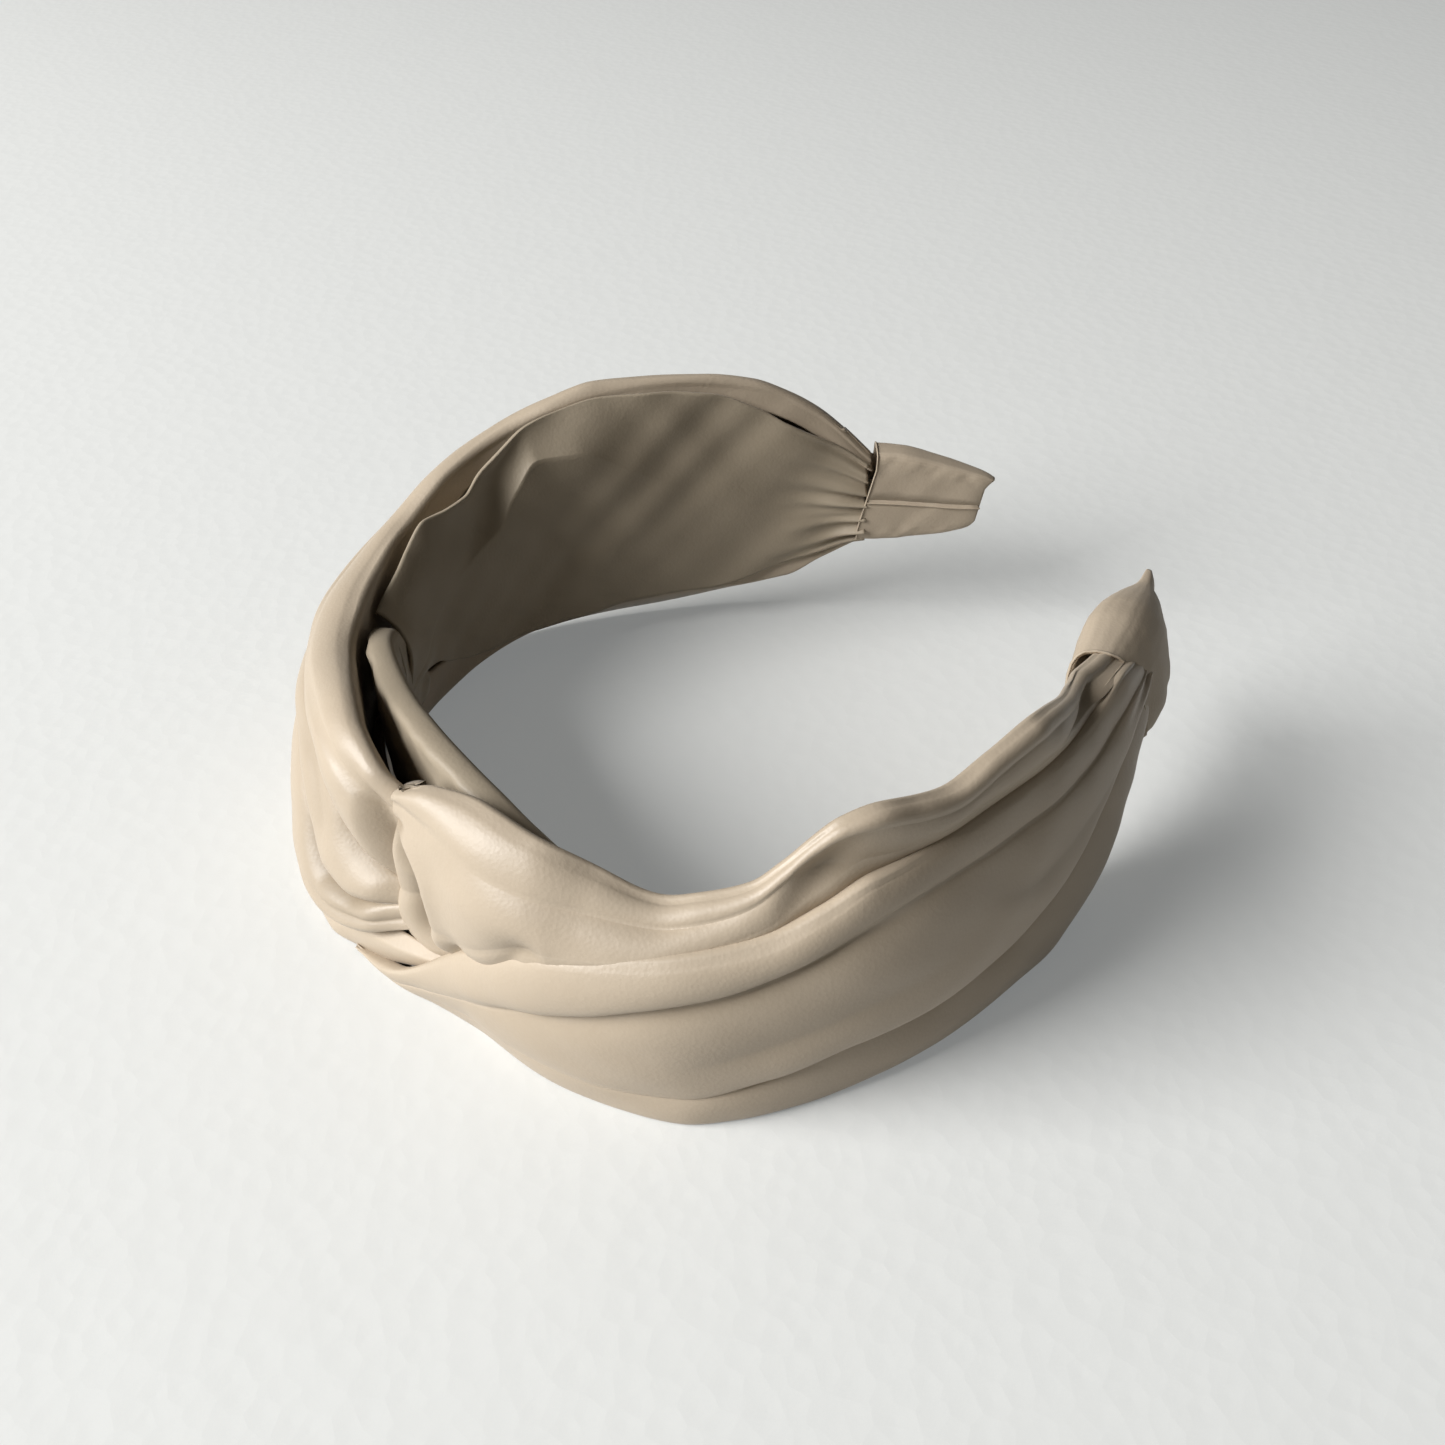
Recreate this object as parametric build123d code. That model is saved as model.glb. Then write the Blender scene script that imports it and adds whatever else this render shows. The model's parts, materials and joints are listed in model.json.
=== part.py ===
"""Knotted headband in soft faux leather, lying on the edge of its band.

The hoop is a C in the XY plane: its crown, with the knot, points to -X and the gap between
its two tips opens to +X. The left arm is on +Y and the right arm on -Y. +Z runs across the
band, and the lower edge of the band rests on z = 0. The origin is the bottom centre of the
whole headband's box.

Places along the hoop are given as s, the distance in mm from the middle of the crown along
the hoop's centre line, positive down the right arm. Places across its thickness are offsets
from that line, positive outwards.
"""
import math
import os
from dataclasses import dataclass

from build123d import *

# The hoop's centre line: three arcs each side of the crown's middle, tangent to each other.
CROWN_RADIUS = 115.0
CROWN_LENGTH = 25.0
SHOULDER_RADIUS = 47.0
SHOULDER_LENGTH = 70.0
ARM_RADIUS = 158.0
ARM_LENGTH = 92.5

# The band's outline, seen from the side.
BAND_WIDTH = 57.0
BASE_WIDTH = 20.0
TIP_WIDTH = 12.0
TAPER_LENGTH = 46.0

# The springy plastic core inside the hoop.
CORE_THICKNESS = 1.6
CORE_WIDTH = 10.0
CORE_END_RADIUS = 3.0
CORE_SHORT_OF_TIP = 3.5

# The two strips that cover the core under the knot.
CROWN_COVER_WIDTH = 33.0

# Faux leather: the facing inside the hoop, the strips over the core, and the wraps.
LEATHER = 0.9
WRAP_SWELL = 9.0
WRAP_AT_SLEEVE = 3.0
LIMB_SPLIT_AT_CROWN = 14.0
LIMB_SPLIT_ON_ARM = 32.0

# The glued sleeve over each tip.
SLEEVE_LENGTH = 30.0
SLEEVE_TUCK = 6.0

# The knot: how far its two loops stand out from the hoop, and how far their tops lie
# below the band's upper edge.
KNOT_HALF_LENGTH = 38.0
LEFT_LOOP_SWELL = 20.0
RIGHT_LOOP_SWELL = 15.0
LEFT_LOOP_DROP = 8.0
RIGHT_LOOP_DROP = 11.0
KNOT_MEETS_AT = 2.0
KNOT_ROUNDING = 5.0
LOWER_BAND_ROUNDING = 3.0

# How each arm springs open about the hoop's centre line, just past the knot.
OPENING_ANGLE = 12.0
OPENING_SPARE = 1.5

# Clearance between soft pieces that lie against each other.
GAP = 0.3

HALF_LENGTH = CROWN_LENGTH + SHOULDER_LENGTH + ARM_LENGTH
SLEEVE_BASE = HALF_LENGTH - SLEEVE_LENGTH
TUCKED_END = SLEEVE_BASE + SLEEVE_TUCK
TAPER_START = SLEEVE_BASE - TAPER_LENGTH
BAND_MIDDLE = BAND_WIDTH / 2
CORE_FACE = CORE_THICKNESS / 2
LAYER_FACE = CORE_FACE + GAP
LAYER_BACK = LAYER_FACE + LEATHER
LEFT_LOOP_TOP = BAND_WIDTH - LEFT_LOOP_DROP
RIGHT_LOOP_TOP = BAND_WIDTH - RIGHT_LOOP_DROP
FAR = 400.0


@dataclass(frozen=True)
class Station:
    """A point on the hoop's centre line and the headings of the line there."""

    x: float
    y: float
    along: tuple
    outwards: tuple

    def out(self, offset):
        """The point at this offset outwards from the centre line."""
        return (self.x + offset * self.outwards[0], self.y + offset * self.outwards[1])


def station(s):
    """Walk the three arcs from the middle of the crown to the place s along the hoop."""
    side = -1.0 if s < 0 else 1.0
    left = abs(s)
    turned = 0.0
    x = 0.0
    y = 0.0
    arcs = ((CROWN_RADIUS, CROWN_LENGTH), (SHOULDER_RADIUS, SHOULDER_LENGTH), (ARM_RADIUS, FAR))
    for radius, length in arcs:
        step = min(left, length)
        after = turned + step / radius
        x += radius * (math.cos(turned) - math.cos(after))
        y -= radius * (math.sin(after) - math.sin(turned))
        turned = after
        left -= step
        if left <= 0:
            break
    along = (math.sin(turned) * side, -math.cos(turned))
    outwards = (-math.cos(turned), -math.sin(turned) * side)
    return Station(x, y * side, along, outwards)


def offset_edges(offset, start, end):
    """Arcs that follow the hoop at one offset, from start to end along it."""
    joints = (-CROWN_LENGTH - SHOULDER_LENGTH, -CROWN_LENGTH, CROWN_LENGTH, CROWN_LENGTH + SHOULDER_LENGTH)
    stops = [start] + [joint for joint in joints if start < joint < end] + [end]
    edges = []
    for near, far in zip(stops, stops[1:]):
        middle = station((near + far) / 2).out(offset)
        edges.append(ThreePointArc(station(near).out(offset), middle, station(far).out(offset)))
    return edges


def swelling_edge(swell, leave=None, arrive=None):
    """A smooth curve through (s, offset) pairs, leaving and arriving along the hoop if asked."""
    points = [station(s).out(offset) for s, offset in swell]
    first = station(swell[0][0]).along if leave is None else leave
    last = station(swell[-1][0]).along if arrive is None else arrive
    return Spline(*points, tangents=(first, last))


def upright(inner_edges, outer_edges, height=FAR):
    """The upright solid between an inner and an outer run of edges, both given crown to tip."""
    start = Line(inner_edges[0] @ 0, outer_edges[0] @ 0)
    end = Line(inner_edges[-1] @ 1, outer_edges[-1] @ 1)
    outline = make_face([*inner_edges, *outer_edges, start, end])
    return extrude(outline, amount=height)


def strip(inner, outer, start, end):
    """A strip of even thickness along the hoop, tall enough to be trimmed to any outline."""
    return upright(offset_edges(inner, start, end), offset_edges(outer, start, end))


def seen_from_side(low, high):
    """A block through the whole hoop in Y, between a low and a high run of edges in x and z."""
    ends = [Line(low[0] @ 0, high[0] @ 0), Line(low[-1] @ 1, high[-1] @ 1)]
    outline = Plane.XZ * make_face([*low, *high, *ends])
    return extrude(outline, amount=FAR, both=True)


def band_edge(side, margin):
    """The band's upper (+1) or lower (-1) edge from crown to tip, moved outwards by a margin."""
    def level(width):
        return BAND_MIDDLE + side * (width / 2 + margin)

    taper_start = (station(TAPER_START).x, level(BAND_WIDTH))
    base = (station(SLEEVE_BASE).x, level(BASE_WIDTH))
    tip = (station(HALF_LENGTH).x, level(TIP_WIDTH))
    past_tip = (tip[0] * 2 - base[0], tip[1] * 2 - base[1])
    flat = Line((-FAR, level(BAND_WIDTH)), taper_start)
    towards_tip = (tip[0] - base[0], tip[1] - base[1])
    taper = Spline(taper_start, base, tangents=((1, 0), towards_tip))
    return [flat, taper, Line(base, past_tip)]


def band_outline(margin=0.0):
    """Everything inside the band's outline, grown by a margin."""
    return seen_from_side(band_edge(-1, margin), band_edge(1, margin))


def limb_split(shift):
    """The line where the upper and lower limbs of a wrap meet, moved up by a shift."""
    crown = (-FAR, LIMB_SPLIT_AT_CROWN + shift)
    knot = (station(0).x, LIMB_SPLIT_AT_CROWN + shift)
    shoulder = (station(CROWN_LENGTH + SHOULDER_LENGTH).x, LIMB_SPLIT_ON_ARM + shift)
    base = (station(SLEEVE_BASE).x, BAND_MIDDLE + shift)
    beyond = (FAR, BAND_MIDDLE + shift)
    climb = Spline(knot, shoulder, base, tangents=((1, 0), (1, 0)))
    return [Line(crown, knot), climb, Line(base, beyond)]


def above_split():
    """Everything above the line where the two limbs meet."""
    return seen_from_side(limb_split(GAP / 2), [Line((-FAR, FAR), (FAR, FAR))])


def below_split():
    """Everything below the line where the two limbs meet."""
    return seen_from_side([Line((-FAR, -FAR), (FAR, -FAR))], limb_split(-GAP / 2))


def levels(low, high):
    """A flat slab of space between two heights."""
    return Pos(0, 0, (low + high) / 2) * Box(2 * FAR, 2 * FAR, high - low)


def flex_frame():
    """The upright frame of the right arm's flexing place: X along the hoop, Y outwards."""
    place = station(KNOT_HALF_LENGTH)
    return Plane(origin=(place.x, place.y, 0), x_dir=(*place.along, 0), z_dir=(0, 0, 1))


def room_to_open():
    """The wedge outside the hoop that the right arm needs free of its own wraps to spring open."""
    reach = FAR / 2
    spread = math.radians(OPENING_ANGLE + OPENING_SPARE)
    corners = [(-reach, 0), (GAP / 2, 0), (GAP / 2 + reach * math.tan(spread), reach), (-reach, reach)]
    wedge = extrude(make_face(Polyline(*corners, close=True)), amount=FAR, both=True)
    frame = flex_frame()
    # The frame's Y axis is the inward side for a clockwise hoop, so the wedge is flipped when it is.
    outwards = station(KNOT_HALF_LENGTH).outwards
    flip = frame.y_dir.X * outwards[0] + frame.y_dir.Y * outwards[1] < 0
    return frame.location * (mirror(wedge, about=Plane.XZ) if flip else wedge)


def core_outline():
    """The core's side outline, ending short of the tip with rounded corners."""
    end = station(HALF_LENGTH - CORE_SHORT_OF_TIP).x
    middle = Plane.XZ * Pos(end - FAR / 2, BAND_MIDDLE) * RectangleRounded(FAR, CORE_WIDTH, CORE_END_RADIUS)
    return extrude(middle, amount=FAR, both=True)


def hoop_crown():
    """The part of the core under the knot."""
    reach = KNOT_HALF_LENGTH - GAP / 2
    low = BAND_MIDDLE - CORE_WIDTH / 2
    return strip(-CORE_FACE, CORE_FACE, -reach, reach) & levels(low, low + CORE_WIDTH)


def hoop_arm():
    """The part of the core along the right arm."""
    run = strip(-CORE_FACE, CORE_FACE, KNOT_HALF_LENGTH + GAP / 2, HALF_LENGTH - CORE_SHORT_OF_TIP)
    return run & core_outline()


def crown_strip(inner, outer):
    """One of the two faux leather strips over the core where the wraps leave it bare."""
    reach = KNOT_HALF_LENGTH - GAP / 2
    low = BAND_MIDDLE - CROWN_COVER_WIDTH / 2
    high = BAND_MIDDLE + CROWN_COVER_WIDTH / 2
    return strip(inner, outer, -reach, reach) & levels(low, high)


def arm_facing():
    """The facing on the inside of the right arm, tucked into the sleeve."""
    run = strip(-LAYER_BACK, -LAYER_FACE, KNOT_HALF_LENGTH + GAP / 2, TUCKED_END)
    return run & band_outline(-LEATHER)


def arm_wrap():
    """Both limbs of the right wrap along the arm, swelling off the hoop and tucked into the sleeve."""
    start = KNOT_HALF_LENGTH + GAP / 2
    thin = LAYER_FACE + WRAP_AT_SLEEVE
    shoulder = CROWN_LENGTH + SHOULDER_LENGTH
    flattens = SLEEVE_BASE - GAP
    swell = [(start, LAYER_FACE + WRAP_SWELL), (shoulder, thin + WRAP_SWELL * 0.6), (flattens, thin)]
    outer = [swelling_edge(swell), *offset_edges(thin, flattens, TUCKED_END)]
    run = upright(offset_edges(LAYER_FACE, start, TUCKED_END), outer)
    return (run & band_outline()) - room_to_open()


def tip_sleeve():
    """The glued sleeve over the right tip: a flat cap, open towards the arm."""
    inner = LAYER_BACK + GAP
    outer = LAYER_FACE + WRAP_AT_SLEEVE + GAP
    shell = strip(-inner - LEATHER, outer + LEATHER, SLEEVE_BASE, HALF_LENGTH)
    shell &= band_outline(GAP + LEATHER)
    pocket = strip(-inner, outer, SLEEVE_BASE - GAP, HALF_LENGTH - LEATHER)
    return shell - (pocket & band_outline(GAP))


def knot_loop(start, end, swell, low, high):
    """A padded length of wrap at the knot, between two heights, swelling as (s, offset) pairs say."""
    points = [(start, swell[0])] + [(start + (end - start) * part, out) for part, out in swell[1:-1]]
    outer = swelling_edge(points + [(end, swell[-1])])
    run = upright(offset_edges(LAYER_BACK + GAP, start, end), [outer])
    return run & levels(low, high)


def rounded_outside(piece, radius):
    """The piece with the edges round its outermost face rounded, but for those it lies on."""
    face = piece.faces().sort_by(Axis.X)[0]
    resting = face.bounding_box().min.Z
    return fillet([edge for edge in face.edges() if edge.center().Z > resting + radius / 2], radius)


def left_knot_loop():
    """The left wrap's pleats, sweeping over the crown from the left arm into the knot."""
    swell = (LEFT_LOOP_SWELL * 0.8, (0.3, LEFT_LOOP_SWELL), (0.7, LEFT_LOOP_SWELL * 1.05), LEFT_LOOP_SWELL * 0.9)
    loop = knot_loop(GAP / 2 - KNOT_HALF_LENGTH, KNOT_MEETS_AT, swell, 0, LEFT_LOOP_TOP)
    return rounded_outside(loop, KNOT_ROUNDING)


def right_knot_loop():
    """The right wrap's rounded lobe, folded over the left wrap's pleats."""
    swell = (RIGHT_LOOP_SWELL, (0.35, RIGHT_LOOP_SWELL * 1.1), (0.7, RIGHT_LOOP_SWELL), RIGHT_LOOP_SWELL * 0.75)
    end = KNOT_HALF_LENGTH - GAP / 2
    lobe = knot_loop(KNOT_MEETS_AT + GAP, end, swell, 0, RIGHT_LOOP_TOP)
    return rounded_outside(lobe & above_split(), KNOT_ROUNDING)


def right_knot_lower_band():
    """The right wrap's lower limb, passing below the lobe to fold round the left wrap."""
    swell = (LEFT_LOOP_SWELL * 0.8, (0.35, LEFT_LOOP_SWELL * 0.7), (0.7, RIGHT_LOOP_SWELL * 0.8), WRAP_SWELL)
    end = KNOT_HALF_LENGTH - GAP / 2
    band = knot_loop(KNOT_MEETS_AT + GAP, end, swell, 0, RIGHT_LOOP_TOP)
    return rounded_outside(band & below_split(), LOWER_BAND_ROUNDING)


def arm_pieces():
    """The five pieces of the right arm, by their names without the side."""
    wrap = arm_wrap()
    return {
        "hoop_{}_arm": hoop_arm(),
        "{}_inner_facing": arm_facing(),
        "{}_wrap_upper_limb": wrap & above_split(),
        "{}_wrap_lower_limb": wrap & below_split(),
        "{}_tip_sleeve": tip_sleeve(),
    }


def headband():
    """Every piece of the headband, by node name, with the crown's middle at x = 0."""
    pieces = {
        "hoop_crown": hoop_crown(),
        "crown_inner_strip": crown_strip(-LAYER_BACK, -LAYER_FACE),
        "crown_outer_strip": crown_strip(LAYER_FACE, LAYER_BACK),
        "left_knot_loop": left_knot_loop(),
        "right_knot_loop": right_knot_loop(),
        "right_knot_lower_band": right_knot_lower_band(),
    }
    for name, piece in arm_pieces().items():
        pieces[name.format("right")] = piece
        pieces[name.format("left")] = mirror(piece, about=Plane.XZ)
    return pieces


def main():
    """Build the headband, stand it on its origin and write one file per piece."""
    pieces = headband()
    box = Compound(children=[Compound(piece.wrapped) for piece in pieces.values()]).bounding_box()
    to_origin = Pos(-(box.min.X + box.max.X) / 2, -(box.min.Y + box.max.Y) / 2, -box.min.Z)
    os.makedirs("parts", exist_ok=True)
    for name, piece in pieces.items():
        export_step(to_origin * piece, f"parts/{name}.step")
        print(f"{name}: {piece.volume:.1f} mm3")
    flex = to_origin.position + Vector(station(KNOT_HALF_LENGTH).x, station(KNOT_HALF_LENGTH).y, 0)
    print(f"box {box.size}, right flex axis at x {flex.X:.3f} y {flex.Y:.3f}")


main()
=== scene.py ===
"""Knotted headband in soft faux leather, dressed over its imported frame.

Places on the headband are given as (s, out, up) in millimetres: s runs along the hoop from the
middle of the crown, positive down the right arm, out is the distance outwards from the hoop's
centre line, and up is the height over the surface that the band lies on.
"""
from __future__ import annotations

import json
import logging
import math
from dataclasses import dataclass
from enum import Enum
from typing import Callable

import bmesh
import bpy
import numpy as np
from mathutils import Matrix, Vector

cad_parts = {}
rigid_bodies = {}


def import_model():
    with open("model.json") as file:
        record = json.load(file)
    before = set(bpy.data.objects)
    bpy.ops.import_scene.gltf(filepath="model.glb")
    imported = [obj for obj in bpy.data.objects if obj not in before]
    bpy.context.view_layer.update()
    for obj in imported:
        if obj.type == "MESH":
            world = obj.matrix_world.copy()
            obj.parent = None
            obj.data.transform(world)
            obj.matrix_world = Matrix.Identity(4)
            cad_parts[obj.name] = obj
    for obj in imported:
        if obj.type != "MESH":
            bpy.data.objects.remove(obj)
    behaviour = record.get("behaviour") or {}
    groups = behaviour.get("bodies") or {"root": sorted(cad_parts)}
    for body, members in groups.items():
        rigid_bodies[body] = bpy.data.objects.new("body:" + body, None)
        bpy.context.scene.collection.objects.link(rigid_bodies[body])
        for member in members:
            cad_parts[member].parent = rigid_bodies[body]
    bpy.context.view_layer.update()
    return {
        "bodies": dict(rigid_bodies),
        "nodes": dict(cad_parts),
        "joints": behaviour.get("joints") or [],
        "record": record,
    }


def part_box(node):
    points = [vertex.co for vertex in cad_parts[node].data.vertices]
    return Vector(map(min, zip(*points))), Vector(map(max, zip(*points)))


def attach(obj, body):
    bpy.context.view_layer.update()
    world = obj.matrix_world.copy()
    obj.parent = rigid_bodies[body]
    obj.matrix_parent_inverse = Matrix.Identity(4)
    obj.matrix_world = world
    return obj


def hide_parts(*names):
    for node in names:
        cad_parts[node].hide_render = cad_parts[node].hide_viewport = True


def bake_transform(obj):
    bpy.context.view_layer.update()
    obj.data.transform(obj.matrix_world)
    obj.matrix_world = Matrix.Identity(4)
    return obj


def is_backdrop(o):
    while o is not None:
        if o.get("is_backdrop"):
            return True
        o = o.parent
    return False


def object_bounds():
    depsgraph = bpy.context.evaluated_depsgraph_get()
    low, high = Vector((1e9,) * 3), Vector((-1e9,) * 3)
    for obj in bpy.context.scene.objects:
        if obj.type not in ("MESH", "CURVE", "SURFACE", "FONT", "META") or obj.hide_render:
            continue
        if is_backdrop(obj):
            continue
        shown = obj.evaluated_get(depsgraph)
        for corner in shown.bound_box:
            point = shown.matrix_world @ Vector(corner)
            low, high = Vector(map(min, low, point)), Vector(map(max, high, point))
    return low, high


MM = 0.001
LOG = logging.getLogger("headband")
Knots = tuple[tuple[float, ...], ...]

# Millimetres along the hoop: each arm's flexing place, and the ends of the stretch round it where the leather
# would bend.
FLEX_AT = 38.0
BEND_FROM, BEND_TO = 26.0, 52.0
# Half of the hoop's thickness, in millimetres.
CORE_HALF = 0.8
# Four times the bend radius, in metres, at which a bend takes the full lighter colour, partly from wear and
# partly as painted highlight.
WEAR_AND_HIGHLIGHT_REACH = 0.0012


# ---------------------------------------------------------------------------------------------
# Curves through a maker's marks


def through(marks: np.ndarray, values: np.ndarray, at: np.ndarray) -> np.ndarray:
    """Read a smooth curve that never overshoots its marks.

    Args:
        marks: rising positions of the marks.
        values: one row of values for each mark.
        at: positions to read, of any shape.

    Returns:
        The values there, with one more axis than at.
    """
    marks = np.asarray(marks, float)
    values = np.asarray(values, float).reshape(len(marks), -1)
    gap = np.diff(marks)[:, None]
    rise = np.diff(values, axis=0) / gap
    slope = np.zeros_like(values)
    slope[0] = rise[0]
    slope[-1] = rise[-1]
    if len(marks) > 2:
        before, after = rise[:-1], rise[1:]
        near, far = 2 * gap[1:] + gap[:-1], gap[1:] + 2 * gap[:-1]
        same = before * after > 0
        safe_before = np.where(same, before, 1.0)
        safe_after = np.where(same, after, 1.0)
        slope[1:-1] = np.where(same, (near + far) / (near / safe_before + far / safe_after), 0.0)
    cell = np.clip(np.searchsorted(marks, at) - 1, 0, len(marks) - 2)
    width = gap[cell, 0][..., None]
    t = np.clip((at - marks[cell])[..., None] / width, 0.0, 1.0)
    start, end = values[cell], values[cell + 1]
    t2, t3 = t * t, t * t * t
    return (
        (2 * t3 - 3 * t2 + 1) * start
        + (t3 - 2 * t2 + t) * width * slope[cell]
        + (3 * t2 - 2 * t3) * end
        + (t3 - t2) * width * slope[cell + 1]
    )


def ramp(low: float, high: float, at: np.ndarray) -> np.ndarray:
    """Rise smoothly from 0 at low to 1 at high."""
    t = np.clip((at - low) / (high - low), 0.0, 1.0)
    return t * t * (3 - 2 * t)


@dataclass(frozen=True)
class Rail:
    """A line that runs along the hoop on the leather, given as (s, out, up) marks."""

    marks: Knots

    @classmethod
    def of(cls, *marks: tuple[float, float, float]) -> Rail:
        """Draw a line through these marks."""
        return cls(marks)

    def at(self, s: np.ndarray) -> np.ndarray:
        """Read (out, up) at these places along the hoop."""
        marks = np.array(self.marks)
        return through(marks[:, 0], marks[:, 1:], s)

    def moved(self, out: float, up: float) -> Rail:
        """Give the same line, moved outwards and up."""
        return Rail(tuple((s, o + out, u + up) for s, o, u in self.marks))


@dataclass(frozen=True)
class Span:
    """How the leather goes from one rail to the next.

    The swell is how far it stands proud halfway, as (s, swell) marks. A fullness of 1 gives a
    soft arch, and 0.5 a round roll that turns sharply at both rails.
    """

    steps: int
    swell: Knots = ((0.0, 0.0),)
    fullness: float = 1.0
    lean: float = 0.0

    def proud(self, s: np.ndarray, t: float) -> np.ndarray:
        """Read how far the leather stands proud at the share t of the way."""
        if len(self.swell) == 1:
            height = np.full(np.shape(s), self.swell[0][1])
        else:
            marks = np.array(self.swell)
            height = through(marks[:, 0], marks[:, 1], s)[..., 0]
        skewed = t + self.lean * t * (1 - t)
        return height * (4 * skewed * (1 - skewed)) ** self.fullness


@dataclass(frozen=True)
class Crease:
    """A crease or a ridge pressed into the outer side, along (s, up, depth) marks.

    A negative depth raises the leather. The widths are the reach on the left and right side of
    the line, seen along it with the hoop's outside towards the eye.
    """

    marks: Knots
    left: float
    right: float
    sharp: float = 1.4

    def depth(self, s: np.ndarray, up: np.ndarray) -> np.ndarray:
        """Read how deep the leather is pressed in at these places."""
        marks = np.array(self.marks)
        run = np.concatenate([[0], np.cumsum(np.linalg.norm(np.diff(marks[:, :2], axis=0), axis=1))])
        line = through(run, marks, np.linspace(0, run[-1], 6 * len(marks)))
        best = np.full(s.shape, 1e9)
        signed = np.zeros(s.shape)
        depth = np.zeros(s.shape)
        for (s0, u0, d0), (s1, u1, d1) in zip(line, line[1:]):
            ds, du = s1 - s0, u1 - u0
            length = max(ds * ds + du * du, 1e-9)
            t = np.clip(((s - s0) * ds + (up - u0) * du) / length, 0, 1)
            away_s, away_u = s - s0 - t * ds, up - u0 - t * du
            far = np.hypot(away_s, away_u)
            nearer = far < best
            best = np.where(nearer, far, best)
            signed = np.where(nearer, ds * away_u - du * away_s, signed)
            depth = np.where(nearer, d0 + (d1 - d0) * t, depth)
        reach = np.where(signed > 0, self.left, self.right)
        return depth * np.exp(-((best / reach) ** self.sharp))


@dataclass(frozen=True)
class HoopLine:
    """The hoop's centre line: three arcs each side of the crown's middle, tangent to each other."""

    start_x: float
    crown: tuple[float, float] = (115.0, 25.0)
    shoulder: tuple[float, float] = (47.0, 70.0)
    arm: tuple[float, float] = (158.0, 400.0)

    def place(self, s: np.ndarray, out: np.ndarray, up: np.ndarray) -> np.ndarray:
        """Put (s, out, up) places into the frame.

        Args:
            s: distance along the hoop in mm.
            out: distance outwards in mm.
            up: height in mm.

        Returns:
            Points in metres, with a last axis of three.
        """
        side = np.where(s < 0, -1.0, 1.0)
        left = np.abs(s)
        turned = np.zeros_like(left)
        x = np.zeros_like(left)
        y = np.zeros_like(left)
        for radius, length in (self.crown, self.shoulder, self.arm):
            step = np.minimum(left, length)
            after = turned + step / radius
            x += radius * (np.cos(turned) - np.cos(after))
            y -= radius * (np.sin(after) - np.sin(turned))
            turned = after
            left = left - step
        x = x - out * np.cos(turned) + self.start_x
        y = (y - out * np.sin(turned)) * side
        return np.stack([x, y, np.broadcast_to(up, x.shape)], axis=-1) * MM

    def point(self, s: float, out: float = 0.0, up: float = 0.0) -> Vector:
        """Put one place into the frame."""
        return Vector(self.place(np.array([s]), np.array([out]), np.array([up]))[0])


# ---------------------------------------------------------------------------------------------
# Shader building


class Shade:
    """A shader value whose arithmetic adds Math nodes."""

    def __init__(self, graph: Graph, socket: bpy.types.NodeSocket) -> None:
        """Wrap an output socket of the graph."""
        self.graph = graph
        self.socket = socket

    def _math(self, operation: str, first: Shade | float, second: Shade | float) -> Shade:
        """Add one Math node between two values."""
        return self.graph.node("ShaderNodeMath", {"operation": operation}, {0: first, 1: second})

    def __add__(self, other: Shade | float) -> Shade:
        """Add."""
        return self._math("ADD", self, other)

    def __radd__(self, other: float) -> Shade:
        """Add, reflected."""
        return self._math("ADD", other, self)

    def __sub__(self, other: Shade | float) -> Shade:
        """Subtract."""
        return self._math("SUBTRACT", self, other)

    def __mul__(self, other: Shade | float) -> Shade:
        """Multiply."""
        return self._math("MULTIPLY", self, other)


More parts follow.
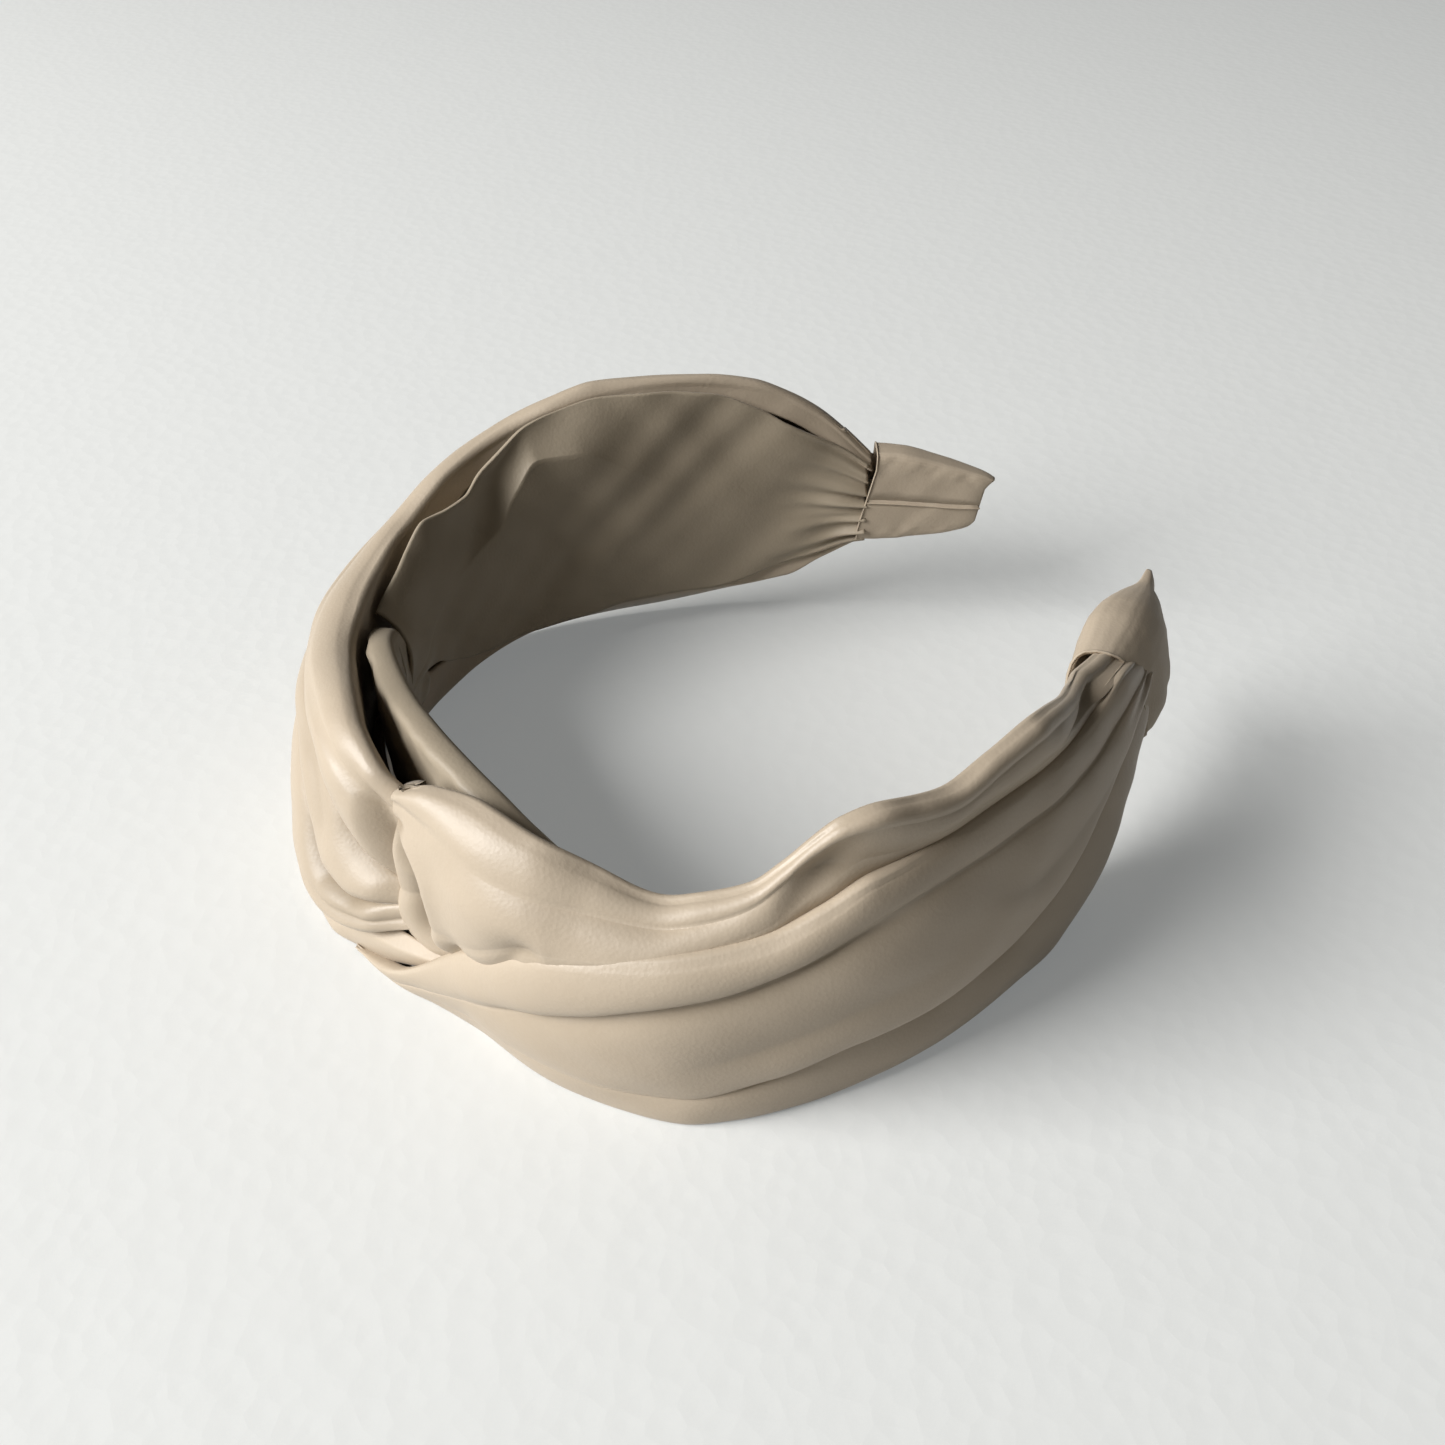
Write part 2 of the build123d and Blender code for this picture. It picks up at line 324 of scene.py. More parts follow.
class Graph:
    """The node graph of one material."""

    def __init__(self, name: str) -> None:
        """Start a material with an empty graph."""
        self.material = bpy.data.materials.new(name)
        self.material.use_nodes = True
        self.tree = self.material.node_tree
        self.tree.nodes.clear()

    def node(
        self,
        kind: str,
        settings: dict[str, object] | None = None,
        inputs: dict[str | int, object] | None = None,
        output: str | int = 0,
    ) -> Shade:
        """Add any node.

        Args:
            kind: the node's type.
            settings: attributes set first.
            inputs: a value or a Shade for each socket, by name or number.
            output: the output to give back.

        Returns:
            The chosen output.
        """
        made = self.tree.nodes.new(kind)
        for name, value in (settings or {}).items():
            setattr(made, name, value)
        for name, value in (inputs or {}).items():
            socket = made.inputs[name]
            if isinstance(value, Shade):
                self.tree.links.new(value.socket, socket)
            else:
                socket.default_value = value
        return Shade(self, made.outputs[output])

    def noise(self, scale: float, detail: float, stretch: tuple[float, float, float] = (1, 1, 1)) -> Shade:
        """Add fractal noise on the object's own coordinates."""
        place = self.node("ShaderNodeTexCoord", output="Object")
        placed = self.node("ShaderNodeMapping", {}, {"Vector": place, "Scale": stretch})
        return self.node("ShaderNodeTexNoise", {}, {"Vector": placed, "Scale": scale, "Detail": detail})

    def cells(self, scale: float) -> Shade:
        """Add rounded cells on the object's own coordinates."""
        place = self.node("ShaderNodeTexCoord", output="Object")
        return self.node("ShaderNodeTexVoronoi", {}, {"Vector": place, "Scale": scale})

    def blend(self, share: Shade, low: tuple[float, ...] | Shade, high: tuple[float, ...] | Shade) -> Shade:
        """Mix two colours by a share."""
        mixed = self.tree.nodes.new("ShaderNodeMix")
        mixed.data_type = "RGBA"
        self.tree.links.new(share.socket, mixed.inputs[0])
        for number, value in ((6, low), (7, high)):
            if isinstance(value, Shade):
                self.tree.links.new(value.socket, mixed.inputs[number])
            else:
                mixed.inputs[number].default_value = (*value, 1.0)
        return Shade(self, mixed.outputs[2])

    def attribute(self, name: str) -> Shade:
        """Read a number that the mesh carries."""
        return self.node("ShaderNodeAttribute", {"attribute_name": name}, output="Fac")

    def surface(self, shader: Shade) -> bpy.types.Material:
        """Finish the material with its surface shader."""
        end = self.tree.nodes.new("ShaderNodeOutputMaterial")
        self.tree.links.new(shader.socket, end.inputs["Surface"])
        return self.material


@dataclass(frozen=True)
class LeatherFinish:
    """Smooth faux leather with a fine grain and a soft sheen, with painted shade in its creases and bends
    that are lighter partly from wear and partly as painted highlight.
    """

    name: str
    colour: tuple[float, float, float] = (0.465, 0.388, 0.295)
    deep: tuple[float, float, float] = (0.38, 0.30, 0.215)
    # The lighter tone, which also colours sharp bends, partly as wear and partly as painted highlight.
    worn_and_highlight: tuple[float, float, float] = (0.525, 0.445, 0.345)
    # The colour of the painted shade in the creases.
    crease_shade: tuple[float, float, float] = (0.235, 0.185, 0.125)
    roughness: float = 0.36
    grain: float = 0.16

    def material(self) -> bpy.types.Material:
        """Build the finish."""
        graph = Graph(self.name)
        cloud = graph.noise(38.0, 3.0)
        mottle = graph.noise(420.0, 2.0)
        colour = graph.blend(cloud * 0.5 + mottle * 0.25, self.deep, self.worn_and_highlight)
        colour = graph.blend(0.35 + cloud * 0.2, colour, self.colour)
        # Painted shade: the creases darken towards the crease colour by their depth.
        colour = graph.blend(graph.attribute("fold") * 0.8, colour, self.crease_shade)
        # Sharp bends are lighter: partly wear, partly painted highlight.
        colour = graph.blend(graph.attribute("wear_and_highlight") * 0.35, colour, self.worn_and_highlight)
        pebble = graph.cells(1500.0)
        fine = graph.noise(3200.0, 2.0)
        wrinkle = graph.noise(260.0, 4.0, (1, 1, 2.2))
        height = pebble * 0.45 + fine * 0.25 + wrinkle * 0.8
        bump = graph.node(
            "ShaderNodeBump", {}, {"Strength": self.grain, "Distance": 0.00035, "Height": height}, "Normal"
        )
        roughness = self.roughness + mottle * 0.10 + cloud * 0.06 - graph.attribute("wear_and_highlight") * 0.06
        shader = graph.node(
            "ShaderNodeBsdfPrincipled",
            {},
            {
                "Base Color": colour,
                "Roughness": roughness,
                "Specular IOR Level": 0.46,
                "Sheen Weight": 0.06,
                "Sheen Roughness": 0.4,
                "Normal": bump,
            },
            "BSDF",
        )
        return graph.surface(shader)


@dataclass(frozen=True)
class MouldedPlasticFinish:
    """Matte ivory plastic with a faint moulded texture and scuffs."""

    name: str = "moulded_core_plastic"
    colour: tuple[float, float, float] = (0.62, 0.58, 0.50)
    dull: tuple[float, float, float] = (0.52, 0.48, 0.41)

    def material(self) -> bpy.types.Material:
        """Build the finish."""
        graph = Graph(self.name)
        cloud = graph.noise(90.0, 3.0)
        scuff = graph.noise(700.0, 4.0, (1, 1, 6))
        bump = graph.node(
            "ShaderNodeBump", {}, {"Strength": 0.2, "Distance": 0.0002, "Height": scuff + cloud}, "Normal"
        )
        shader = graph.node(
            "ShaderNodeBsdfPrincipled",
            {},
            {
                "Base Color": graph.blend(cloud, self.dull, self.colour),
                "Roughness": 0.45 + scuff * 0.2,
                "Normal": bump,
            },
            "BSDF",
        )
        return graph.surface(shader)


@dataclass(frozen=True)
class TableFinish:
    """The pale embossed sheet that the headband lies on."""

    name: str = "pale_table"
    colour: tuple[float, float, float] = (0.60, 0.60, 0.58)
    glow: float = 0.19

    def material(self) -> bpy.types.Material:
        """Build the finish, with part of its paleness only seen and not lighting anything."""
        graph = Graph(self.name)
        emboss = graph.noise(34.0, 6.0, (1.0, 1.5, 1.0))
        grain = graph.cells(260.0)
        bump = graph.node(
            "ShaderNodeBump",
            {},
            {"Strength": 0.16, "Distance": 0.0014, "Height": emboss + grain * 0.3},
            "Normal",
        )
        seen = graph.node("ShaderNodeLightPath", output="Is Camera Ray")
        mirrored = graph.node("ShaderNodeLightPath", output="Is Glossy Ray")
        through_glass = graph.node("ShaderNodeLightPath", output="Is Transmission Ray")
        base = graph.node(
            "ShaderNodeBsdfPrincipled",
            {},
            {"Base Color": (*self.colour, 1.0), "Roughness": 0.75, "Specular IOR Level": 0.2, "Normal": bump},
            "BSDF",
        )
        glow = graph.node(
            "ShaderNodeEmission",
            {},
            {"Color": (0.95, 1.0, 1.02, 1.0), "Strength": (seen + mirrored + through_glass) * self.glow},
        )
        both = graph.node("ShaderNodeAddShader", {}, {0: base, 1: glow})
        return graph.surface(both)


# ---------------------------------------------------------------------------------------------
# Sheets


class Grip(Enum):
    """Which bodies a piece of leather goes with: the one that carries it, or the two that it spans."""

    CROWN = ("crown",)
    LEFT = ("left_arm",)
    RIGHT = ("right_arm",)
    CROWN_TO_LEFT = ("crown", "left_arm")
    CROWN_TO_RIGHT = ("crown", "right_arm")


@dataclass(frozen=True)
class Ripple:
    """Soft, seeded unevenness of the leather, longer along the hoop than across it."""

    seed: int
    height: float = 0.35
    along: float = 34.0
    across: float = 11.0

    def lift(self, s: np.ndarray, up: np.ndarray) -> np.ndarray:
        """Read the unevenness in mm."""
        rng = np.random.default_rng(self.seed)
        total = np.zeros(s.shape)
        for octave in range(7):
            grow = 1.0 + 0.45 * octave
            tilt = rng.uniform(-0.5, 0.5)
            phase = rng.uniform(0, 2 * math.pi, 2)
            wave = np.sin(2 * math.pi * (s * grow / self.along + up * tilt / self.across) + phase[0])
            total += wave * np.sin(2 * math.pi * up * grow / self.across / 2 + phase[1]) / grow
        return total * self.height * 0.6


@dataclass(frozen=True)
class Gather:
    """Small puckers that run into a seam at one end of the leather."""

    at: float
    reach: float
    folds: float
    height: float
    seed: int = 3

    def lift(self, s: np.ndarray, share: np.ndarray) -> np.ndarray:
        """Read the puckers in mm, share being the place across the leather from 0 to 1."""
        rng = np.random.default_rng(self.seed)
        near = np.clip(1 - np.abs(s - self.at) / self.reach, 0, 1) ** 1.6
        wave = np.zeros(s.shape)
        for part in range(3):
            angle = 2 * math.pi * self.folds * (1 + 0.37 * part) * share + rng.uniform(0, 6.28)
            wave += np.sin(angle) / (1 + part)
        return near * wave * self.height


@dataclass(frozen=True)
class Drape:
    """One cut of leather, laid over the hoop through rails from its inner hem to its other hem.

    Going from rail to rail, the seen side is on the left: up the inside, over the top, down the
    outside and under.
    """

    rails: tuple[Rail, ...]
    spans: tuple[Span, ...]
    creases: tuple[Crease, ...] = ()
    ripple: Ripple | None = None
    gathers: tuple[Gather, ...] = ()
    curl: tuple[float, float] = (0.0, 0.0)
    step: float = 0.6

    def grid(self) -> tuple[np.ndarray, np.ndarray, np.ndarray, np.ndarray]:
        """Work out the leather's points.

        Returns:
            Arrays of s, out, up and fold depth, with a row for each place along the leather and
            a column for each place across it.
        """
        starts = [rail.marks[0][0] for rail in self.rails]
        ends = [rail.marks[-1][0] for rail in self.rails]
        rows = int((max(ends) - min(starts)) / self.step) + 1
        along = np.linspace(0, 1, rows)
        columns = []
        count = len(self.spans)
        for number, span in enumerate(self.spans):
            last = number == count - 1
            for part in range(span.steps + (1 if last else 0)):
                t = part / span.steps
                start = starts[number] + (starts[number + 1] - starts[number]) * t
                end = ends[number] + (ends[number + 1] - ends[number]) * t
                s = start + (end - start) * along
                near, far = self.rails[number].at(s), self.rails[number + 1].at(s)
                across = far - near
                length = np.maximum(np.linalg.norm(across, axis=1), 1e-6)
                left = np.stack([-across[:, 1], across[:, 0]], axis=1) / length[:, None]
                limit = np.minimum(span.proud(s, t), length * 0.6)
                point = near + across * t + left * limit[:, None]
                columns.append((s, point[:, 0], point[:, 1], left[:, 0], s - start))
        s, out, up, facing, run = (np.stack([c[k] for c in columns], axis=1) for k in range(5))
        outwards = ramp(0.05, 0.6, facing)
        fold = np.zeros(s.shape)
        for crease in self.creases:
            pressed = crease.depth(s, up) * outwards
            out = out - pressed
            fold = fold + np.clip(pressed, 0, None)
        side = np.where(facing < 0, -1.0, 1.0)
        share = np.linspace(0, 1, s.shape[1])[None, :] + np.zeros(s.shape)
        lift = np.zeros(s.shape)
        if self.ripple:
            lift = lift + self.ripple.lift(s, up)
        for gather in self.gathers:
            lift = lift + gather.lift(s, share)
        out = out + lift * side * np.abs(facing)
        radius, inset = self.curl
        if radius:
            turn = np.clip(1 - run / radius, 0, 1)
            out = out - inset * (1 - np.sqrt(1 - turn * turn)) * np.abs(facing) * side
        return s, out, np.maximum(up, 0.05), np.clip(fold / 2.5, 0, 1)


@dataclass(frozen=True)
class CutEdge:
    """A narrow edge of cut leather that follows a line, made by a Geometry Nodes tree."""

    width: float = 0.5
    height: float = 0.4
    waver: float = 0.22
    seed: float = 4.0

    def tree(self, finish: bpy.types.Material) -> tuple[bpy.types.NodeTree, dict[str, str]]:
        """Build the tree.

        Args:
            finish: the material that it sets.

        Returns:
            The tree, and the identifier of each named input.
        """
        tree = bpy.data.node_groups.new("cut_edge", "GeometryNodeTree")
        tree.interface.new_socket("Geometry", in_out="INPUT", socket_type="NodeSocketGeometry")
        names = {}
        for name in ("Width", "Height", "Waver", "Seed"):
            socket = tree.interface.new_socket(name, in_out="INPUT", socket_type="NodeSocketFloat")
            names[name] = socket.identifier
        tree.interface.new_socket("Geometry", in_out="OUTPUT", socket_type="NodeSocketGeometry")
        new, link = tree.nodes.new, tree.links.new
        start, end = new("NodeGroupInput"), new("NodeGroupOutput")
        curve = new("GeometryNodeMeshToCurve")
        even = new("GeometryNodeResampleCurve")
        even.mode = "LENGTH"
        even.inputs["Length"].default_value = 0.4 * MM
        noise = new("ShaderNodeTexNoise")
        noise.noise_dimensions = "4D"
        noise.inputs["Scale"].default_value = 420.0
        centred, scaled = new("ShaderNodeVectorMath"), new("ShaderNodeVectorMath")
        centred.operation, scaled.operation = "SUBTRACT", "SCALE"
        centred.inputs[1].default_value = (0.5, 0.5, 0.5)
        moved = new("GeometryNodeSetPosition")
        section = new("GeometryNodeCurvePrimitiveQuadrilateral")
        swept = new("GeometryNodeCurveToMesh")
        swept.inputs["Fill Caps"].default_value = True
        real, painted = new("GeometryNodeRealizeInstances"), new("GeometryNodeSetMaterial")
        painted.inputs["Material"].default_value = finish
        for output, target in (
            (start.outputs["Geometry"], curve.inputs["Mesh"]),
            (curve.outputs["Curve"], even.inputs["Curve"]),
            (start.outputs["Seed"], noise.inputs["W"]),
            (noise.outputs["Color"], centred.inputs[0]),
            (centred.outputs["Vector"], scaled.inputs[0]),
            (start.outputs["Waver"], scaled.inputs["Scale"]),
            (even.outputs["Curve"], moved.inputs["Geometry"]),
            (scaled.outputs["Vector"], moved.inputs["Offset"]),
            (start.outputs["Width"], section.inputs["Width"]),
            (start.outputs["Height"], section.inputs["Height"]),
            (moved.outputs["Geometry"], swept.inputs["Curve"]),
            (section.outputs["Curve"], swept.inputs["Profile Curve"]),
            (swept.outputs["Mesh"], real.inputs["Geometry"]),
            (real.outputs["Geometry"], painted.inputs["Geometry"]),
            (painted.outputs["Geometry"], end.inputs["Geometry"]),
        ):
            link(output, target)
        return tree, names

    def along(self, points: np.ndarray, finish: bpy.types.Material) -> bpy.types.Mesh:
        """Make the edge along a line.

        Args:
            points: the line's points in metres.
            finish: the leather.

        Returns:
            The edge's mesh.
        """
        path = bpy.data.meshes.new("edge_path")
        path.from_pydata([tuple(p) for p in points], [(i, i + 1) for i in range(len(points) - 1)], [])
        holder = bpy.data.objects.new("edge_path", path)
        bpy.context.scene.collection.objects.link(holder)
        tree, names = self.tree(finish)
        modifier = holder.modifiers.new("edge", "NODES")
        modifier.node_group = tree
        sizes = {
            "Width": self.width * MM,
            "Height": self.height * MM,
            "Waver": self.waver * MM,
            "Seed": self.seed,
        }
        for name, value in sizes.items():
            modifier[names[name]] = value
        graph = bpy.context.evaluated_depsgraph_get()
        mesh = bpy.data.meshes.new_from_object(holder.evaluated_get(graph))
        bpy.data.objects.remove(holder)
        return mesh


@dataclass
class Workshop:
    """What every sub-assembly shares: the hoop's line and the finishes."""

    hoop: HoopLine
    finishes: dict[str, bpy.types.Material]

    def object(self, name: str, mesh: bpy.types.Mesh, finish: str) -> bpy.types.Object:
        """Link a mesh as an object with a finish.

        Args:
            name: the piece's name.
            mesh: its mesh, in the frame.
            finish: the key of its finish.

        Returns:
            The linked object.
        """
        piece = bpy.data.objects.new(name, mesh)
        bpy.context.scene.collection.objects.link(piece)
        mesh.materials.clear()
        mesh.materials.append(self.finishes[finish])
        mesh.shade_smooth()
        return piece

    def leather(
        self, name: str, drapes: list[Drape], finish: str, thickness: float = 0.8
    ) -> bpy.types.Object:
        """Cut, lay and thicken leather.

        Args:
            name: the piece's name.
            drapes: the lays of leather that make it up.
            finish: the key of its finish.
            thickness: the leather's thickness in mm.

        Returns:
            The finished object.
        """
        build = bmesh.new()
        crease_shade_layer = build.verts.layers.float.new("fold")
        wear_and_highlight_layer = build.verts.layers.float.new("wear_and_highlight")
        for drape in drapes:
            s, out, up, fold = drape.grid()
            points = self.hoop.place(s, out, up)
            wear_and_highlight = self._bend_wear_and_highlight(points)
            rows, columns = s.shape
            verts = [build.verts.new(p) for p in points.reshape(-1, 3)]
            # The fold layer is the mask for the painted shade in the creases; the other layer lightens sharp
            # bends, partly as wear and partly as painted highlight.
            for vert, depth, proud in zip(verts, fold.ravel(), wear_and_highlight.ravel()):
                vert[crease_shade_layer] = float(depth)
                vert[wear_and_highlight_layer] = float(proud)
            for i in range(rows - 1):
                for j in range(columns - 1):
                    a = i * columns + j
                    build.faces.new((verts[a], verts[a + 1], verts[a + columns + 1], verts[a + columns]))
        mesh = bpy.data.meshes.new(name)
        build.to_mesh(mesh)
        build.free()
        piece = self.object(name, mesh, finish)
        wall = piece.modifiers.new("thickness", "SOLIDIFY")
        wall.thickness = thickness * MM
        wall.offset = -1.0
        wall.use_even_offset = False
        return self.applied(piece)

    @staticmethod
    def _bend_wear_and_highlight(points: np.ndarray) -> np.ndarray:
        """Find where the leather is bent outwards, and so is lighter, partly from wear and partly as painted
        highlight.

        Args:
            points: a grid of points in metres.

        Returns:
            A number from 0 to 1 for each point.
        """
        bend = np.zeros(points.shape[:2])
        middle = points[:, 1:-1]
        turn = points[:, :-2] + points[:, 2:] - 2 * middle
        reach = np.linalg.norm(points[:, 2:] - points[:, :-2], axis=-1) + 1e-6
        bend[:, 1:-1] = np.linalg.norm(turn, axis=-1) / reach ** 2 * WEAR_AND_HIGHLIGHT_REACH
        return np.clip(bend, 0, 1)

    @staticmethod
    def applied(piece: bpy.types.Object) -> bpy.types.Object:
        """Turn the modifiers' result into the piece's own mesh."""
        graph = bpy.context.evaluated_depsgraph_get()
        result = bpy.data.meshes.new_from_object(piece.evaluated_get(graph))
        result.name = piece.name
        piece.modifiers.clear()
        piece.data = result
        for vert in result.vertices:
            vert.co.z = max(vert.co.z, 0.0)
        return piece

    def carry(self, piece: bpy.types.Object, grip: Grip, nodes: tuple[str, ...]) -> None:
        """Fix a finished piece to its one body, or leave a piece that spans two bodies unparented.

        Args:
            piece: the piece.
            grip: the body that carries it, or the two bodies that it spans.
            nodes: the frame's nodes that it stands for.
        """
        if len(grip.value) == 1:
            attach(piece, grip.value[0])
        else:
            side = 1.0 if grip is Grip.CROWN_TO_RIGHT else -1.0
            self.hoop.point(BEND_FROM * side)
            self.hoop.point(BEND_TO * side)
            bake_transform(piece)
        if nodes:
            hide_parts(*nodes)
        LOG.info("%s: %d faces", piece.name, len(piece.data.polygons))

    def edged(self, piece: bpy.types.Object, lines: list[Knots], edge: CutEdge) -> None:
        """Add cut edges to a piece.

        Args:
            piece: the piece.
            lines: the (s, out, up) places that each edge follows.
            edge: the edge's sizes.
        """
        build = bmesh.new()
        build.from_mesh(piece.data)
        for line in lines:
            s, out, up = np.array(line).T
            mesh = edge.along(self.hoop.place(s, out, up), piece.data.materials[0])
            build.from_mesh(mesh)
            bpy.data.meshes.remove(mesh)
        for face in build.faces:
            face.material_index = 0
        build.to_mesh(piece.data)
        build.free()

    @staticmethod
    def area(piece: bpy.types.Object) -> float:
        """Measure one side of a thickened sheet in square metres."""
        return sum(face.area for face in piece.data.polygons) / 2


# ---------------------------------------------------------------------------------------------
# Sub-assemblies


@dataclass
class RightWrap:
    """The right arm's wrap: an upper limb that ends in the knot's lobe, over it a lower limb."""

    top: Rail = Rail.of(
        (12, 9, 44.5), (16, 7.5, 46.3), (24, 5, 47), (34, 4.5, 46), (43, 2.4, 42.3), (51.5, 2, 39.5),
        (57, 2, 41), (64, 2, 43.5), (68, 2, 47), (72, 2, 51), (76, 2, 54), (81, 2, 55), (88, 1.5, 53.3),
        (95, 1.5, 52), (103, 1, 53), (112, 1, 53.5), (118, 0.2, 52), (128, -1.4, 48), (136, -3.2, 45),
        (142, -4.2, 43.5), (150, -4.2, 41.5), (160, -3.6, 38.5),
    )
    fold: Rail = Rail.of(
        (-2, 18, 1), (8, 16.5, 4.6), (24, 12, 19.8), (41, 11, 31.8), (53, 10, 34.8), (66, 8, 37.8),
        (73, 7, 41.2), (80, 6, 44.3), (94, 4.2, 44.8), (116, 3.7, 43.3), (135, 2.7, 41.3), (146, 1.8, 41),
        (160, 1.6, 36.5),
    )
    bottom: Rail = Rail.of(
        (-2, 17.4, 0.2), (8, 15, 0.2), (15, 12, 0.2), (27, 9.5, 0.2), (47, 10, 0.2), (55, 10.3, 0.2),
        (62, 9, 0.2), (71, 7, 0.2), (83, 5.5, 1), (94.5, 5, 0.6), (110, 5, 0.3), (121, 5.5, 0.3),
        (132, 5, 1.4), (144, 5, 9.5), (152.5, 4.6, 15), (160, 4, 20.5),
    )

    def upper(self) -> Drape:
        """Lay the upper limb with its lobe."""
        hem = Rail.of(
            (14, 5, 37), (24, 3, 38), (34, 2, 37.5), (43, 0.6, 36.5), (51.5, -0.3, 35), (64, -0.6, 37),
            (76, -0.6, 45), (95, -0.6, 44), (112, -0.7, 45), (128, -1.6, 41), (142, -3.4, 37),
            (160, -3, 34),
        )
        inner = Rail.of(
            (12.5, 7, 43), (24, 3, 45), (34, 2.4, 44.3), (43, 0.8, 41), (51.5, 0.2, 38.3), (57, 0.2, 39.6),
            (64, 0.2, 42), (68, 0.2, 45.5), (76, 0.2, 52.3), (81, 0.2, 53.3), (95, 0, 50.4),
            (112, -0.4, 52), (128, -2.4, 46.6), (136, -4.4, 43.4), (142, -5.4, 41.6), (150, -5.4, 39.6),
            (160, -4.6, 36.6),
        )
        shoulder = Rail.of(
            (7.6, 10.8, 40), (13, 10.4, 42), (20, 10.2, 42), (27, 10.2, 41), (35, 9, 39.8), (43, 6.5, 38.6),
            (51.5, 5.2, 37.7), (57, 4.8, 39), (64, 4.2, 42), (68, 3.6, 45.5), (72, 3.2, 49), (76, 3.6, 52),
            (81, 4, 53), (88, 3.6, 51.3), (95, 3.4, 50), (103, 3.2, 51), (112, 3.2, 51.5), (118, 2.4, 50.4),
            (128, 0.9, 46.6), (136, -0.6, 44), (142, -1.6, 42.6), (150, -1.8, 40.8), (160, -1.6, 38),
        )
        front = Rail.of(
            (5.6, 11.6, 20), (13, 11.0, 22), (20, 11.6, 23), (27, 12.4, 25.5), (35, 12.3, 31),
            (43, 10.8, 33.4), (51.5, 9.2, 35), (57, 7.6, 36.2), (66, 5.6, 39.6), (73, 3.8, 43.5),
            (80, 3.8, 47.2), (94, 3.4, 47), (116, 3.2, 45.6), (135, 2.0, 42.6), (146, 1.2, 41.2),
            (160, 0.8, 37),
        )
        tuck = Rail.of(
            (6, 10.8, 8.6), (12, 10.6, 9.6), (18, 10, 12.6), (24, 9.0, 16.6), (41, 8.2, 29), (53, 7, 32.2),
            (66, 5, 35), (80, 2.6, 41), (94, 1.4, 41.3), (116, 1.1, 40), (135, 0.2, 38.2), (146, 0, 38),
            (160, -0.3, 35),
        )
        spans = (
            Span(8),
            Span(10, ((12, 1.2), (160, 0.9)), 0.55),
            Span(10, ((12, 1.6), (51, 0.9), (76, 0.9), (160, 0.6)), 0.7),
            Span(
                34,
                (
                    (9, 1.0), (20, 1.2), (30, 1.6), (43, 0.8), (66, 0.2), (73, -0.9), (80, 0.1), (100, 0.5),
                    (118, 0.9), (130, 0.2), (160, 0.0),
                ),
                1.0,
            ),
            Span(12, ((9, 1.2), (30, 1.4), (51, 0.8), (80, 0.4), (160, 0.2)), 0.8),
        )
        creases = (
            Crease(((7, 36.8, 2.0), (10, 37.2, 1.8), (13.5, 38.6, 0.0)), 1.0, 1.2),
            Crease(
                (
                    (9, 34.5, 1.2), (11.5, 31, 2.4), (13.4, 26.5, 3.2), (13.0, 21.5, 3.6),
                    (13.6, 17.0, 3.2), (17, 15.4, 2.2), (20.5, 16.2, 0.8),
                ),
                2.6, 2.2, 1.5,
            ),
            Crease(
                (
                    (10.5, 37.5, -0.6), (15.5, 35.6, -1.2), (18.8, 32, -1.5), (19.6, 26, -1.5),
                    (20, 21, -1.2), (22.5, 17.6, -0.4),
                ),
                2.6, 2.2,
            ),
            Crease(((22, 18.5, 0.8), (24.5, 21.5, 2.2), (27, 22, 0.6)), 1.6, 1.4),
            Crease(((33, 27, 0.8), (36, 31, 1.8), (39, 31.5, 0.4)), 2.6, 1.6),
            Crease(((69, 47, 0.2), (75.5, 47.2, 1.1), (84, 47.5, 0.3)), 4.0, 3.4),
            Crease(
                ((120, 46.5, 0.3), (127, 44.4, 1.8), (134, 43.6, 2.4), (141, 43.0, 1.6), (147, 41.5, 0.3)),
                1.8, 1.4, 1.1,
            ),
        )
        return Drape(
            (hem, inner, self.top, shoulder, front, tuck), spans, creases, Ripple(11, 0.22, 48, 15),
            (Gather(158, 26, 3.2, 0.5),), (2.6, 3.4),
        )

    def lower(self) -> Drape:
        """Lay the lower limb, with its rolled upper edge and its long folds."""
        behind = self.fold.moved(-3.0, -1.0)
        back = Rail.of(
            (-2, 14, 0.6), (8, 13, 2.4), (24, 8.6, 14.5), (41, 7.4, 26), (53, 6.4, 29.4), (66, 4.6, 32),
            (80, 2.4, 38), (94, 1.1, 38.4), (116, 0.8, 37), (135, -0.2, 35.2), (146, -0.4, 35),
            (160, -0.6, 32),
        )
        second = Rail.of(
            (-2, 17.9, 0.7), (8, 15.8, 2.2), (15, 14.2, 5.6), (25, 12.7, 11.5), (42.6, 12, 21.3),
            (50.8, 11.5, 26), (63, 9.8, 30.6), (69.5, 8.9, 33.6), (78, 7.8, 38), (86, 6.6, 40),
            (95, 5.6, 39.8), (116, 5.4, 38.5), (135, 4.4, 37.6), (146, 3.7, 37.6), (160, 2.7, 35.2),
        )
        third = Rail.of(
            (-2, 17.6, 0.5), (8, 15.5, 1.3), (25, 11.2, 5), (40, 11, 6.2), (55, 10.6, 7), (66.7, 9.6, 10.6),
            (77, 9.6, 15.4), (90.5, 9.4, 17.2), (107, 9.0, 18.8), (118, 8.3, 21.2), (127, 7.5, 24.6),
            (135, 6.5, 28.2), (143, 5.5, 31.4), (151, 4.6, 33), (160, 3.9, 33.6),
        )
